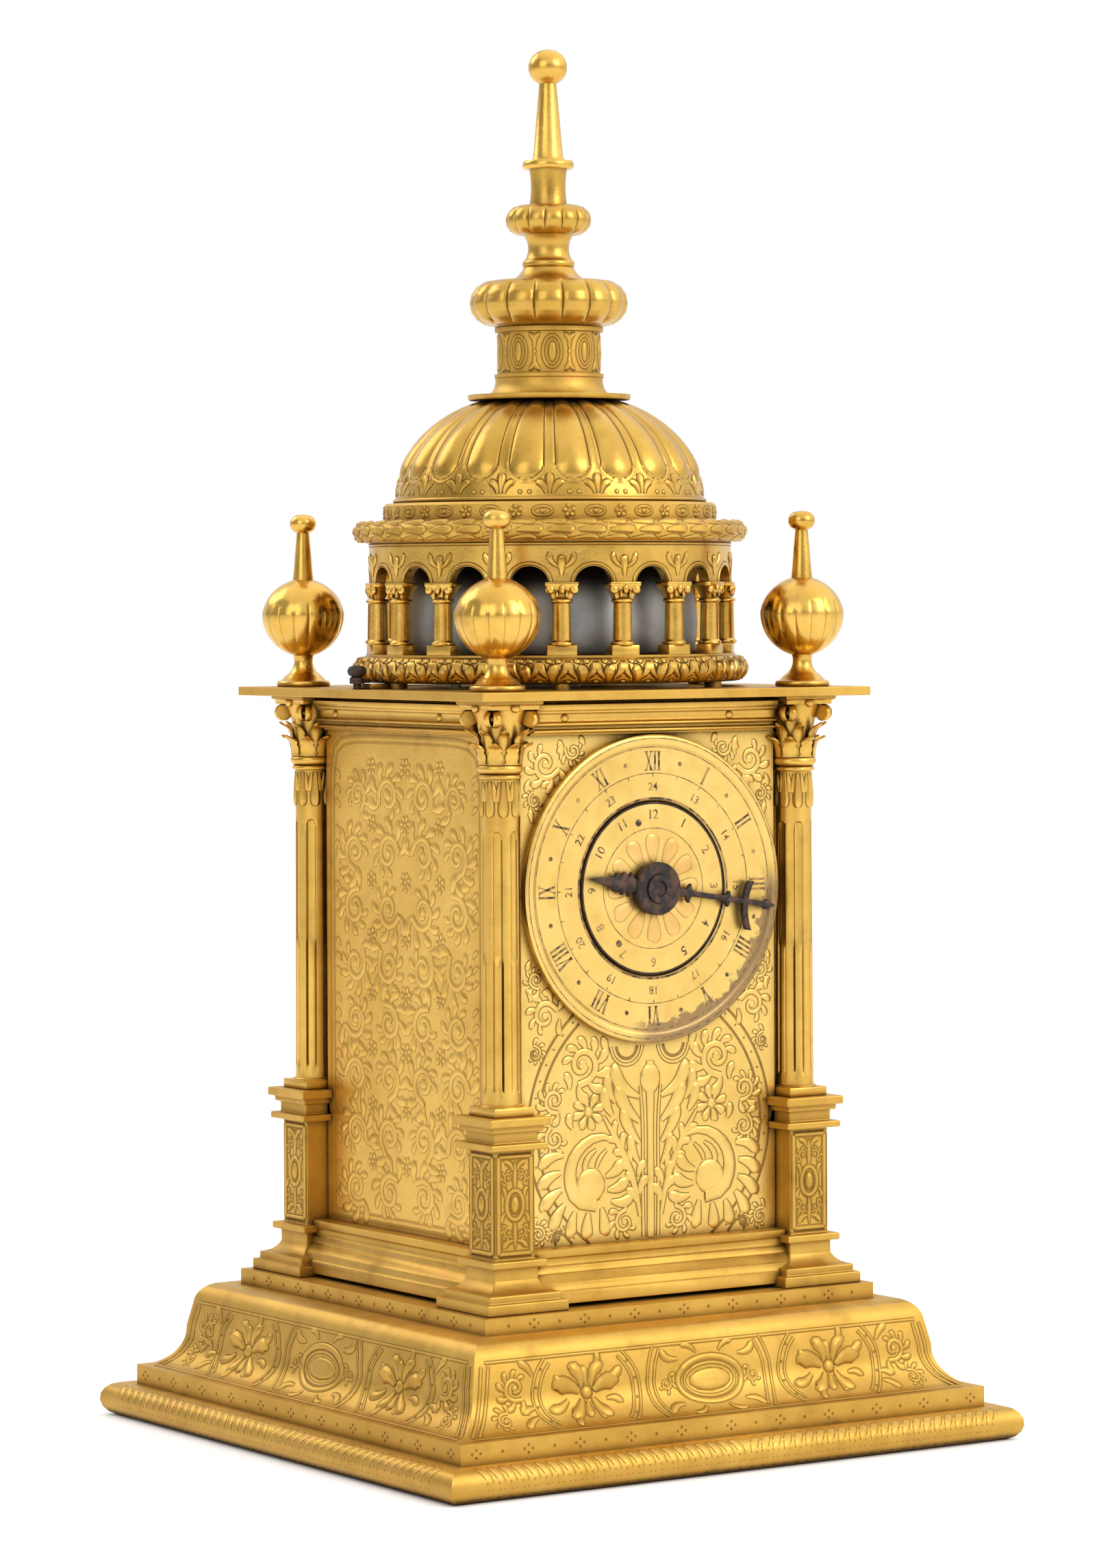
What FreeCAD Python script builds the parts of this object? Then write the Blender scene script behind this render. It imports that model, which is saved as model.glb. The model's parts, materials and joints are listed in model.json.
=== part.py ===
"""Tower clock: a parametric FreeCAD document, one object per physical piece.

The frame is +Z up, with the origin in the middle of the plinth's foot and the dial facing -Y.
Lengths are millimetres. Every driving dimension is a cell of the spreadsheet Sizes.
"""
import FreeCAD
import Part
import Sketcher
import math
import os
from types import SimpleNamespace

DIMENSIONS = {
    # plinth: half widths of its square mouldings, and heights above the ground
    "plinth_height": 35.2,
    "plinth_foot_half": 74.6,
    "plinth_torus_half": 78.0,
    "plinth_torus_height": 7.4,
    "plinth_band_half": 71.0,
    "plinth_band_height": 4.6,
    "plinth_cove_half": 62.4,
    "plinth_cove_height": 9.5,
    "plinth_neck_half": 61.0,
    "plinth_neck_height": 6.5,
    "plinth_top_half": 53.0,
    "plinth_top_height": 3.6,
    "plinth_wall": 3.0,
    "deck_thick": 3.4,
    # case
    "case_height": 134.8,
    "panel_face": 40.0,
    "panel_thick": 3.0,
    "post_width": 5.0,
    "seat_gap": 0.1,
    "fit_gap": 0.05,
    # corner pilasters
    "pilaster_axis": 40.3,
    "pedestal_height": 42.8,
    "pedestal_foot_half": 10.7,
    "pedestal_foot_height": 11.3,
    "pedestal_step": 2.5,
    "pedestal_second_step": 1.7,
    "pedestal_step_inset": 1.2,
    "pedestal_flare_height": 2.7,
    "pedestal_block_grow": 0.5,
    "pedestal_ledge_grow": 2.0,
    "pedestal_ledge_thick": 1.6,
    "die_half": 5.3,
    "cap_half": 8.0,
    "cap_height": 7.2,
    "cap_plate": 1.9,
    "cap_fillet_half": 6.8,
    "cap_fillet_thick": 1.3,
    "cap_ledge_half": 7.5,
    "cap_ledge_thick": 1.5,
    "column_radius": 4.3,
    "column_base_radius": 5.4,
    "column_base_height": 3.6,
    "astragal_radius": 5.1,
    "astragal_height": 2.0,
    "capital_half": 7.0,
    "capital_height": 14.0,
    "abacus_height": 1.6,
    # mouldings between the pilasters
    "base_reach": 7.5,
    "base_height": 12.6,
    "base_step": 3.3,
    "base_fascia_reach": 3.4,
    "base_fillet": 1.5,
    "cornice_reach": 4.6,
    "cornice_height": 8.0,
    "cornice_fascia_reach": 3.0,
    "cornice_fillet": 1.6,
    # top plate and finials
    "plate_half": 53.0,
    "plate_thick": 2.0,
    "finial_axis": 41.8,
    "finial_height": 40.3,
    "finial_foot_radius": 6.0,
    "finial_foot_height": 2.6,
    "finial_neck_radius": 2.4,
    "finial_neck_height": 4.7,
    "finial_urn_radius": 9.6,
    "finial_urn_height": 17.7,
    "finial_stem_radius": 1.45,
    "finial_knob_radius": 3.1,
    "finial_knob_height": 4.3,
    "finial_stud_radius": 1.5,
    "tip_flat": 0.6,
    # gallery
    "gallery_foot": 1.0,
    "gallery_foot_radius": 2.0,
    "gallery_foot_count": 6,
    "ring_radius": 46.0,
    "ring_height": 6.2,
    "ring_bulge": 2.2,
    "arcade_radius": 42.0,
    "arcade_wall": 2.4,
    "arcade_height": 26.4,
    "arch_count": 18,
    "arch_width": 8.8,
    "arch_sill": 2.9,
    "arch_crown": 20.6,
    "gallery_cornice_radius": 46.0,
    "gallery_cornice_height": 4.6,
    "gallery_cornice_overhang": 1.2,
    "step_radius": 38.6,
    "step_height": 4.3,
    # dome and spire
    "dome_radius": 36.0,
    "dome_height": 24.0,
    "dome_flat_radius": 10.0,
    "dome_wall": 2.0,
    "flare_radius": 18.9,
    "flare_height": 5.0,
    "flare_lip": 1.2,
    "drum_radius": 11.9,
    "drum_height": 11.8,
    "large_knop_radius": 18.4,
    "large_knop_height": 11.0,
    "ogee_height": 3.0,
    "spire_neck_radius": 5.8,
    "spire_neck_height": 7.6,
    "small_knop_radius": 10.0,
    "small_knop_height": 6.6,
    "spire_stem_radius": 4.4,
    "spire_stem_height": 8.7,
    "collar_radius": 5.9,
    "collar_height": 1.9,
    "cone_foot_radius": 3.5,
    "cone_tip_radius": 2.0,
    "cone_height": 18.5,
    "ball_radius": 4.7,
    "ball_height": 7.5,
    "spire_stud_radius": 1.6,
    "spire_nut_radius": 4.6,
    "spire_nut_height": 3.0,
    # bell and hammer
    "bell_lift": 8.0,
    "bell_radius": 33.6,
    "bell_height": 35.0,
    "bell_shoulder_radius": 30.4,
    "bell_wall": 2.2,
    "bell_crown_radius": 10.0,
    "bell_post_radius": 3.0,
    "bell_post_flange": 7.0,
    "bell_post_flange_thick": 1.6,
    "bell_stud_radius": 2.0,
    "bell_nut_radius": 4.2,
    "bell_nut_height": 3.0,
    "hammer_head_radius": 3.2,
    "hammer_rest_gap": 2.4,
    "hammer_strike_rise": 5.4,
    "hammer_rod_radius": 1.3,
    "hammer_arbor_radius": 1.4,
    "hammer_inset": 3.5,
    "hammer_tail_length": 14.0,
    "hammer_tail_width": 1.6,
    "hammer_draw": 8.0,
    # dial, alarm disc and hand
    "dial_drop": 43.0,
    "dial_radius": 34.75,
    "dial_bore": 19.9,
    "dial_thick": 1.6,
    "dial_rim_width": 2.6,
    "dial_rim_height": 0.5,
    "alarm_radius": 19.5,
    "alarm_thick": 1.2,
    "alarm_gap": 0.4,
    "setting_hole_radius": 0.7,
    "setting_hole_circle": 15.4,
    "setting_hole_first": 105.0,
    "setting_hole_second": 232.0,
    "hand_reach": 33.0,
    "hand_tail": 18.6,
    "hand_thick": 1.0,
    "hand_width": 2.0,
    "hand_spear_width": 4.6,
    "hand_spear_length": 11.0,
    "hand_lobe_radius": 1.7,
    "hand_lobe_place": 15.5,
    "hand_hub_radius": 6.0,
    "hand_hub_thick": 2.2,
    "hand_gap": 0.6,
    "hand_angle": -8.8,
    # turn-button beside the gallery
    "latch_axis": 50.2,
    "latch_place": 4.0,
    "latch_radius": 2.2,
    "latch_toe_reach": 3.2,
    "latch_toe_width": 3.0,
    "latch_toe_thick": 1.8,
    "latch_knob_height": 4.2,
    "latch_stud_radius": 1.0,
    "latch_lug_reach": 2.3,
    "latch_lug_width": 6.0,
    "latch_lug_thick": 1.2,
    # movement frame
    "movement_half": 31.5,
    "movement_front": 24.0,
    "movement_back": 22.0,
    "movement_plate_thick": 2.0,
    "movement_rise": 19.0,
    "pillar_radius": 2.5,
    "pillar_stud_radius": 1.5,
    "pillar_inset": 4.0,
    "pillar_low_place": 10.0,
    "pillar_high_place": 8.0,
    # trains
    "gear_module": 0.6,
    "great_teeth": 50,
    "wheel_teeth": 48,
    "pinion_teeth": 12,
    "hour_teeth": 80,
    "hour_pinion_teeth": 10,
    "train_gap": 0.9,
    "barrel_drop": 47.0,
    "drum_wall_radius": 12.0,
    "drum_length": 25.0,
    "great_width": 2.0,
    "wheel_width": 1.6,
    "wheel_setback": 5.4,
    "layer_gap": 2.0,
    "pinion_overlap": 0.5,
    "barrel_arbor_radius": 2.0,
    "arbor_radius": 1.2,
    "pivot_radius": 0.9,
    "winding_square": 2.6,
    "winding_reach": 1.0,
    "winding_hole_radius": 3.4,
    "pin_count": 8,
    "pin_circle": 10.5,
    "pin_radius": 0.8,
    "pin_length": 3.6,
    "fly_half": 7.5,
    "fly_length": 20.0,
    "fly_thick": 1.0,
    "fly_setback": 14.0,
    # escapement
    "crown_radius": 9.0,
    "crown_wall": 1.5,
    "crown_depth": 6.0,
    "crown_tooth_depth": 2.6,
    "crown_tooth_count": 15,
    "crown_tooth_gap": 2.0,
    "potence_thick": 2.0,
    "potence_gap": 3.0,
    "potence_half": 2.5,
    "verge_radius": 1.0,
    "verge_gap": 4.0,
    "pallet_reach": 3.0,
    "pallet_width": 2.4,
    "pallet_thick": 0.8,
    "balance_radius": 10.6,
    "balance_rim": 1.6,
    "balance_thick": 2.0,
    "balance_lift": 4.0,
    "cock_thick": 2.4,
    "cock_gap": 4.0,
    "low_cock_drop": 12.0,
    # hour pipe
    "pipe_radius": 3.2,
    "dial_stud_radius": 1.8,
    "hour_wheel_width": 1.4,
    "hour_wheel_gap": 4.6,
    "pipe_clearance": 0.6,
}

PRESSURE_ANGLE = math.radians(25.0)
ADDENDUM = 0.9
DEDENDUM = 1.15
BACKLASH = 0.22
FLANK_POINTS = 4
CORNERS = {"back_right": 0, "back_left": 90, "front_left": 180, "front_right": 270}
CORNER_SIGNS = {"back_right": (1, 1), "back_left": (-1, 1), "front_left": (-1, -1), "front_right": (1, -1)}
SIDES = {"front": 0, "right": 90, "back": 180, "left": 270}
SIDE_SIGNS = {"front": (0, -1), "right": (1, 0), "back": (0, 1), "left": (-1, 0)}
ALONG_Y = FreeCAD.Rotation(FreeCAD.Vector(1, 0, 0), 90)
UPRIGHT = FreeCAD.Rotation()


class Size:
    """A length with its value and the spreadsheet expression that gives it."""

    def __init__(self, value, text):
        self.value = float(value)
        self.text = text

    def __add__(self, other):
        other = as_size(other)
        return Size(self.value + other.value, "(%s + %s)" % (self.text, other.text))

    def __sub__(self, other):
        other = as_size(other)
        return Size(self.value - other.value, "(%s - %s)" % (self.text, other.text))

    def __mul__(self, other):
        other = as_size(other)
        return Size(self.value * other.value, "(%s * %s)" % (self.text, other.text))

    def __truediv__(self, other):
        other = as_size(other)
        return Size(self.value / other.value, "(%s / %s)" % (self.text, other.text))

    def __neg__(self):
        return Size(-self.value, "(-1 * %s)" % self.text)


def as_size(number):
    """Wrap a plain number, so that it can be added to a Size."""
    if isinstance(number, Size):
        return number
    return Size(number, "%.9g" % number)


def bind(item, prop, amount):
    """Tie one property of an object to an expression."""
    item.setExpression(prop, as_size(amount).text)


def place(item, x, y, z, rotation=UPRIGHT):
    """Put an object at a place that follows the spreadsheet."""
    base = FreeCAD.Vector(as_size(x).value, as_size(y).value, as_size(z).value)
    item.Placement = FreeCAD.Placement(base, rotation)
    bind(item, "Placement.Base.x", x)
    bind(item, "Placement.Base.y", y)
    bind(item, "Placement.Base.z", z)
    return item


def turn(item, degrees):
    """Turn a finished object about the clock's upright axis."""
    item.Placement = FreeCAD.Placement(FreeCAD.Vector(), FreeCAD.Rotation(FreeCAD.Vector(0, 0, 1), degrees))
    return item


doc = FreeCAD.newDocument("TowerClock")
sheet = doc.addObject("Spreadsheet::Sheet", "Sizes")
for row, (name, number) in enumerate(DIMENSIONS.items(), start=1):
    sheet.set("A%d" % row, name)
    sheet.set("B%d" % row, str(number))
    sheet.setAlias("B%d" % row, name)
doc.recompute()
S = SimpleNamespace(**{name: Size(sheet.get(name), "Sizes.%s" % name) for name in DIMENSIONS})
pieces = []


# Building blocks

def piece(item, label):
    """Name a finished sub-part: its label is its file's name."""
    item.Label = label
    pieces.append(item)
    return item


def box(x0, x1, y0, y1, z0, z1):
    """A box between three pairs of planes."""
    item = doc.addObject("Part::Box", "box")
    bind(item, "Length", as_size(x1) - x0)
    bind(item, "Width", as_size(y1) - y0)
    bind(item, "Height", as_size(z1) - z0)
    return place(item, x0, y0, z0)


def upright_rod(radius, x, y, z0, z1):
    """A cylinder along Z."""
    item = doc.addObject("Part::Cylinder", "rod")
    bind(item, "Radius", radius)
    bind(item, "Height", as_size(z1) - z0)
    return place(item, x, y, z0)


def arbor(radius, x, z, y0, y1):
    """A cylinder along Y, from the front plane y0 to the rear plane y1."""
    item = doc.addObject("Part::Cylinder", "arbor")
    bind(item, "Radius", radius)
    bind(item, "Height", as_size(y1) - y0)
    return place(item, x, y1, z, ALONG_Y)


def join(items):
    """Fuse several objects into one."""
    item = doc.addObject("Part::MultiFuse", "join")
    item.Shapes = items
    return item


def cut(base, tools):
    """Take several objects away from one."""
    item = doc.addObject("Part::Cut", "cut")
    item.Base = base
    item.Tool = tools[0] if len(tools) == 1 else join(tools)
    return item


def new_sketch(body, role):
    """A sketch on one of the body's own origin planes."""
    sketch = body.newObject("Sketcher::SketchObject", "outline")
    plane = next(item for item in body.Origin.OriginFeatures if item.Role == role)
    sketch.AttachmentSupport = [(plane, "")]
    sketch.MapMode = "FlatFace"
    return sketch


def draw(sketch, path):
    """Draw a closed outline: (u, v) is a line to a point, (u, v, mu, mv) an arc to it through (mu, mv).

    The first step is where the outline starts and how it closes.
    """
    path = [tuple(as_size(number) for number in step) for step in path]
    flat = [FreeCAD.Vector(step[0].value, step[1].value, 0) for step in path]
    ends = []
    middles = []
    for i, step in enumerate(path[1:] + path[:1], start=1):
        first = flat[i - 1]
        last = flat[i % len(path)]
        if len(step) == 2:
            geometry = sketch.addGeometry(Part.LineSegment(first, last), False)
            ends.append((geometry, 1, 2))
            continue
        middle = FreeCAD.Vector(step[2].value, step[3].value, 0)
        ahead = (middle - first).cross(last - middle).z > 0
        arc = Part.Arc(first, middle, last) if ahead else Part.Arc(last, middle, first)
        geometry = sketch.addGeometry(arc, False)
        ends.append((geometry, 1, 2) if ahead else (geometry, 2, 1))
        middles.append((geometry, sketch.addGeometry(Part.Point(middle), True), step[2], step[3]))
    for i, (geometry, begin, _) in enumerate(ends):
        before = ends[i - 1]
        sketch.addConstraint(Sketcher.Constraint("Coincident", before[0], before[2], geometry, begin))
        hold(sketch, geometry, begin, path[i][0], path[i][1])
    for geometry, point, u, v in middles:
        hold(sketch, point, 1, u, v)
        sketch.addConstraint(Sketcher.Constraint("PointOnObject", point, 1, geometry))


def hold(sketch, geometry, end, u, v):
    """Dimension one point of a sketch from its origin."""
    for kind, amount in (("DistanceX", u), ("DistanceY", v)):
        index = sketch.addConstraint(Sketcher.Constraint(kind, -1, 1, geometry, end, amount.value))
        sketch.setExpression("Constraints[%d]" % index, amount.text)


def turned(path):
    """A body turned about its own Z axis from an outline of (radius, height)."""
    body = doc.addObject("PartDesign::Body", "turned")
    sketch = new_sketch(body, "XZ_Plane")
    draw(sketch, path)
    revolution = body.newObject("PartDesign::Revolution", "revolution")
    revolution.Profile = sketch
    revolution.ReferenceAxis = (sketch, ["V_Axis"])
    return body


def prism(role, path, length):
    """A body with a constant outline, reaching equally to both sides of an origin plane."""
    body = doc.addObject("PartDesign::Body", "prism")
    sketch = new_sketch(body, role)
    draw(sketch, path)
    pad = body.newObject("PartDesign::Pad", "pad")
    pad.Profile = sketch
    pad.SideType = "Symmetric"
    bind(pad, "Length", length)
    return body


def squared(path, widest):
    """A square moulding from its right-hand edge, listed from the bottom up as (half width, height)."""
    path = [tuple(as_size(number) for number in step) for step in path]
    outline = list(path) + [(-path[-1][0], path[-1][1])]
    for i in range(len(path) - 1, 0, -1):
        back = (-path[i - 1][0], path[i - 1][1])
        middle = (-path[i][2], path[i][3]) if len(path[i]) == 4 else ()
        outline.append(back + middle)
    item = doc.addObject("Part::Common", "squared")
    item.Base = prism("XZ_Plane", outline, widest * 2 + 2)
    item.Tool = prism("YZ_Plane", outline, widest * 2 + 2)
    return item


def toothed(teeth, module, width):
    """A toothed disc along Z with involute flanks, one tooth on the X axis."""
    pitch = teeth * module / 2
    base = pitch * math.cos(PRESSURE_ANGLE)
    root = pitch - DEDENDUM * module
    tip = pitch + ADDENDUM * module
    half = math.pi * (1 - BACKLASH) / (2 * teeth) + involute(PRESSURE_ANGLE)
    flank = []
    for i in range(FLANK_POINTS):
        radius = max(root, base) + (tip - max(root, base)) * i / (FLANK_POINTS - 1)
        flank.append((radius, half - involute(math.acos(min(1.0, base / radius)))))
    flank.insert(0, (root, flank[0][1]))
    points = []
    for tooth in range(teeth):
        middle = 2 * math.pi * tooth / teeth
        points += [polar(radius, middle - angle) for radius, angle in flank]
        points += [polar(radius, middle + angle) for radius, angle in reversed(flank)]
    item = doc.addObject("Part::Feature", "toothed")
    wire = Part.makePolygon(points + points[:1])
    item.Shape = Part.Face(wire).extrude(FreeCAD.Vector(0, 0, width))
    return item


def involute(angle):
    """The involute function of an angle."""
    return math.tan(angle) - angle


def polar(radius, angle):
    """A point of the XY plane by its radius and angle."""
    return FreeCAD.Vector(radius * math.cos(angle), radius * math.sin(angle), 0)


def wheel(teeth, module, x, z, y0, y1, phase):
    """A toothed disc along Y between two planes, turned by a phase in degrees."""
    item = toothed(int(teeth.value), as_size(module).value, (as_size(y1) - y0).value)
    spin = FreeCAD.Rotation(FreeCAD.Vector(0, 0, 1), phase)
    return place(item, x, y1, z, ALONG_Y.multiply(spin))


def spread(count):
    """The angles, in degrees, of copies spaced evenly round a circle."""
    return [360.0 * i / count for i in range(count)]


# Levels, from the ground up

deck = S.plinth_height
plate_low = deck + S.case_height
roof = plate_low + S.plate_thick
ring_low = roof + S.gallery_foot
arcade_low = ring_low + S.ring_height
cornice_low = arcade_low + S.arcade_height
dome_low = cornice_low + S.gallery_cornice_height + S.step_height
lantern_low = dome_low + S.dome_height
large_knop_low = lantern_low + S.flare_height + S.drum_height
small_knop_low = large_knop_low + S.large_knop_height + S.ogee_height
spire_low = small_knop_low + S.spire_neck_height + S.small_knop_height + S.spire_stem_height
dial_level = plate_low - S.dial_drop
bell_low = roof + S.bell_lift

# Planes of the case

panel_back = S.panel_face - S.panel_thick
panel_half = S.pilaster_axis - S.die_half - S.seat_gap
post_outer = panel_back


def make_plinth():
    """The moulded plinth, hollow below, with the deck that carries the case."""
    band_top = S.plinth_torus_height + S.plinth_band_height
    cove_top = band_top + S.plinth_cove_height
    neck_top = cove_top + S.plinth_neck_height
    top_low = S.plinth_height - S.plinth_top_height
    outside = squared([
        (S.plinth_foot_half, 0),
        (S.plinth_band_half + 1.4, S.plinth_torus_height, S.plinth_torus_half, S.plinth_torus_height * 0.46),
        (S.plinth_band_half, S.plinth_torus_height),
        (S.plinth_band_half, band_top),
        (S.plinth_band_half - 1.6, band_top),
        (S.plinth_cove_half, cove_top, S.plinth_cove_half + 1.9, band_top + S.plinth_cove_height * 0.36),
        (S.plinth_neck_half, neck_top),
        (S.plinth_top_half + 1.5, top_low, S.plinth_neck_half - 2, top_low - 0.8),
        (S.plinth_top_half, top_low),
        (S.plinth_top_half, S.plinth_height),
    ], S.plinth_torus_half)
    wall = S.plinth_wall
    hollow = squared([
        (S.plinth_band_half - wall, -1),
        (S.plinth_band_half - wall, S.plinth_torus_height),
        (S.plinth_cove_half - wall, band_top + 2),
        (S.plinth_neck_half - wall, neck_top - 1),
        (S.plinth_top_half - wall, S.plinth_height - S.deck_thick),
    ], S.plinth_torus_half)
    piece(cut(outside, [hollow]), "plinth")


def corner_rebate(low, high):
    """What a corner piece leaves free for the two panels and the post behind it."""
    reach = panel_half + S.seat_gap
    return [
        box(0, reach, 0, S.panel_face, low, high),
        box(0, S.panel_face, 0, reach, low, high),
        box(0, post_outer + S.seat_gap, 0, post_outer + S.seat_gap, low, high),
    ]


def pedestal_foot(grow):
    """The edge of a pedestal's flared foot, grown by a clearance."""
    half = S.pedestal_foot_half + grow
    die = S.die_half + grow
    step = half - S.pedestal_step_inset
    block = die + S.pedestal_block_grow
    ledge = die + S.pedestal_ledge_grow
    height = S.pedestal_foot_height
    flare = S.pedestal_step + S.pedestal_second_step
    rise = S.pedestal_flare_height
    return [
        (half, 0),
        (half, S.pedestal_step),
        (step, S.pedestal_step),
        (step, flare),
        (block, flare + rise, block + (step - block) * 0.32, flare + rise * 0.37),
        (block, height - S.pedestal_ledge_thick),
        (ledge, height - S.pedestal_ledge_thick),
        (ledge, height),
        (die, height),
    ]


def make_pedestals():
    """Four pedestals: flared foot, square die and cap, wrapped round the case's corner."""
    cap_low = S.pedestal_height - S.cap_height
    plate = S.pedestal_height - S.cap_plate
    block = S.die_half + S.pedestal_block_grow
    edge = pedestal_foot(as_size(0)) + [
        (S.die_half, cap_low),
        (S.cap_ledge_half, cap_low),
        (S.cap_ledge_half, cap_low + S.cap_ledge_thick),
        (block, cap_low + S.cap_ledge_thick),
        (block, plate - S.cap_fillet_thick),
        (S.cap_fillet_half, plate - S.cap_fillet_thick),
        (S.cap_fillet_half, plate),
        (S.cap_half, plate),
        (S.cap_half, S.pedestal_height),
    ]
    for name, angle in CORNERS.items():
        block = place(squared(edge, S.pedestal_foot_half), S.pilaster_axis, S.pilaster_axis, deck)
        rebate = corner_rebate(deck - 1, deck + S.pedestal_height + 1)
        piece(turn(cut(block, rebate), angle), "pedestal_%s" % name)


def make_columns():
    """Four columns with base rings, an astragal and a capital, reaching up to the top plate."""
    low = deck + S.pedestal_height
    height = S.case_height - S.pedestal_height
    capital = height - S.capital_height
    ring = S.column_base_radius
    for name, angle in CORNERS.items():
        shaft = turned([
            (0, 0),
            (ring, 0),
            (ring, S.column_base_height * 0.4, ring + 0.5, S.column_base_height * 0.2),
            (ring - 0.5, S.column_base_height * 0.5),
            (S.column_radius + 0.4, S.column_base_height),
            (S.column_radius, S.column_base_height),
            (S.column_radius, capital - S.astragal_height),
            (S.column_radius, capital, S.astragal_radius, capital - S.astragal_height * 0.5),
            (0, capital),
        ])
        place(shaft, S.pilaster_axis, S.pilaster_axis, low)
        head = squared([
            (S.column_radius * 0.85, capital),
            (S.capital_half * 0.86, height - S.abacus_height, S.column_radius + 0.1, height - S.capital_height * 0.4),
            (S.capital_half, height - S.abacus_height),
            (S.capital_half, height),
        ], S.capital_half)
        place(head, S.pilaster_axis, S.pilaster_axis, low)
        rebate = corner_rebate(low - 1, plate_low + 1)
        piece(turn(cut(join([shaft, head]), rebate), angle), "column_%s" % name)


def make_posts():
    """Four square posts inside the corners, which carry the panels and the top plate."""
    inner = post_outer - S.post_width
    for name, (sx, sy) in CORNER_SIGNS.items():
        x = span(sx, inner, post_outer)
        y = span(sy, inner, post_outer)
        piece(box(x[0], x[1], y[0], y[1], deck, plate_low), "case_post_%s" % name)


def span(sign, near, far):
    """The two planes at distances near and far from the axis, on its positive or negative side."""
    return (near, far) if sign > 0 else (-far, -near)


def make_panels():
    """Four panels. The front one lets the hour pipe through, the back one the winding key."""
    width = (-panel_half, panel_half)
    for name, (sx, sy) in SIDE_SIGNS.items():
        x = span(sx, panel_back, S.panel_face) if sx else width
        y = span(sy, panel_back, S.panel_face) if sy else width
        item = box(x[0], x[1], y[0], y[1], deck, plate_low)
        if name == "front":
            radius = S.pipe_radius + S.pipe_clearance
            item = cut(item, [arbor(radius, 0, dial_level, y[0] - 1, y[1] + 1)])
        if name == "back":
            holes = []
            for place_x in (-train_offset, train_offset):
                holes.append(arbor(S.winding_hole_radius, place_x, barrel_level, y[0] - 1, y[1] + 1))
            item = cut(item, holes)
        piece(item, "%s_panel" % name)


def make_base_mouldings():
    """Four base mouldings on the panels, cut back to clear the pedestals' feet."""
    reach = S.base_reach
    fascia = S.base_fascia_reach
    top = S.base_height
    outline = [
        (0, 0),
        (-reach, 0),
        (-reach, S.base_step),
        (-fascia - 0.8, top * 0.58, -reach + 0.8, top * 0.45),
        (-fascia, top * 0.62),
        (-fascia, top - S.base_fillet),
        (-fascia - 0.6, top - S.base_fillet),
        (-fascia - 0.6, top),
        (0, top),
    ]
    for name, angle in SIDES.items():
        strip = place(prism("YZ_Plane", outline, panel_half * 2), 0, -S.panel_face, deck)
        ends = []
        for x in (-S.pilaster_axis, S.pilaster_axis):
            foot = squared(pedestal_foot(S.seat_gap) + [(S.die_half, top + 1)], S.pedestal_foot_half)
            ends.append(place(foot, x, -S.pilaster_axis, deck))
        piece(turn(cut(strip, ends), angle), "base_moulding_%s" % name)


def make_cornices():
    """Four cornice strips under the top plate, between the capitals."""
    reach = S.cornice_reach
    fascia = S.cornice_fascia_reach
    top = S.cornice_height
    outline = [
        (0, 0),
        (-fascia * 0.4, 0),
        (-fascia * 0.6, top * 0.2),
        (-fascia * 0.6, top * 0.38),
        (-fascia, top * 0.38),
        (-fascia, top - S.cornice_fillet),
        (-reach, top - S.cornice_fillet),
        (-reach, top),
        (0, top),
    ]
    half = S.pilaster_axis - S.capital_half - S.seat_gap * 2
    for name, (sx, sy) in SIDE_SIGNS.items():
        spin = FreeCAD.Rotation(FreeCAD.Vector(0, 0, 1), SIDES[name])
        strip = prism("YZ_Plane", outline, half * 2)
        piece(place(strip, S.panel_face * sx, S.panel_face * sy, plate_low - top, spin), "cornice_%s" % name)


def make_top_plate():
    """The thin top plate, with holes for the finials, the bell post, the latch and the hammer's arm."""
    half = S.plate_half
    low = plate_low - 1
    high = roof + 1
    holes = [upright_rod(S.bell_stud_radius + S.fit_gap, 0, 0, low, high)]
    for x in (-S.finial_axis, S.finial_axis):
        for y in (-S.finial_axis, S.finial_axis):
            holes.append(upright_rod(S.finial_stud_radius + S.fit_gap, x, y, low, high))
    holes.append(upright_rod(S.latch_stud_radius + S.fit_gap, -S.latch_axis, S.latch_place, low, high))
    slot = hammer_slot()
    holes.append(box(slot[0], slot[1], -S.hammer_rod_radius * 2, S.hammer_rod_radius * 2, low, high))
    piece(cut(box(-half, half, -half, half, plate_low, roof), holes), "top_plate")


def make_finials():
    """Four turned urns, each with a stud through the top plate."""
    neck_low = S.finial_foot_height
    urn_low = neck_low + S.finial_neck_height
    urn_top = urn_low + S.finial_urn_height
    knob_low = S.finial_height - S.finial_knob_height
    urn = S.finial_urn_radius
    for name, (sx, sy) in CORNER_SIGNS.items():
        body = turned([
            (0, -S.plate_thick),
            (S.finial_stud_radius, -S.plate_thick),
            (S.finial_stud_radius, 0),
            (S.finial_foot_radius, 0),
            (S.finial_foot_radius, neck_low * 0.5),
            (S.finial_foot_radius * 0.7, neck_low),
            (S.finial_neck_radius, urn_low, S.finial_neck_radius, neck_low + S.finial_neck_height * 0.45),
            (urn, urn_low + S.finial_urn_height * 0.56, urn * 0.86, urn_low + S.finial_urn_height * 0.26),
            (S.finial_neck_radius, urn_top, urn * 0.77, urn_low + S.finial_urn_height * 0.82),
            (S.finial_stem_radius, knob_low),
            (S.tip_flat, S.finial_height, S.finial_knob_radius, S.finial_height - S.finial_knob_height * 0.5),
            (0, S.finial_height),
        ])
        piece(place(body, S.finial_axis * sx, S.finial_axis * sy, roof), "finial_%s" % name)


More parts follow.
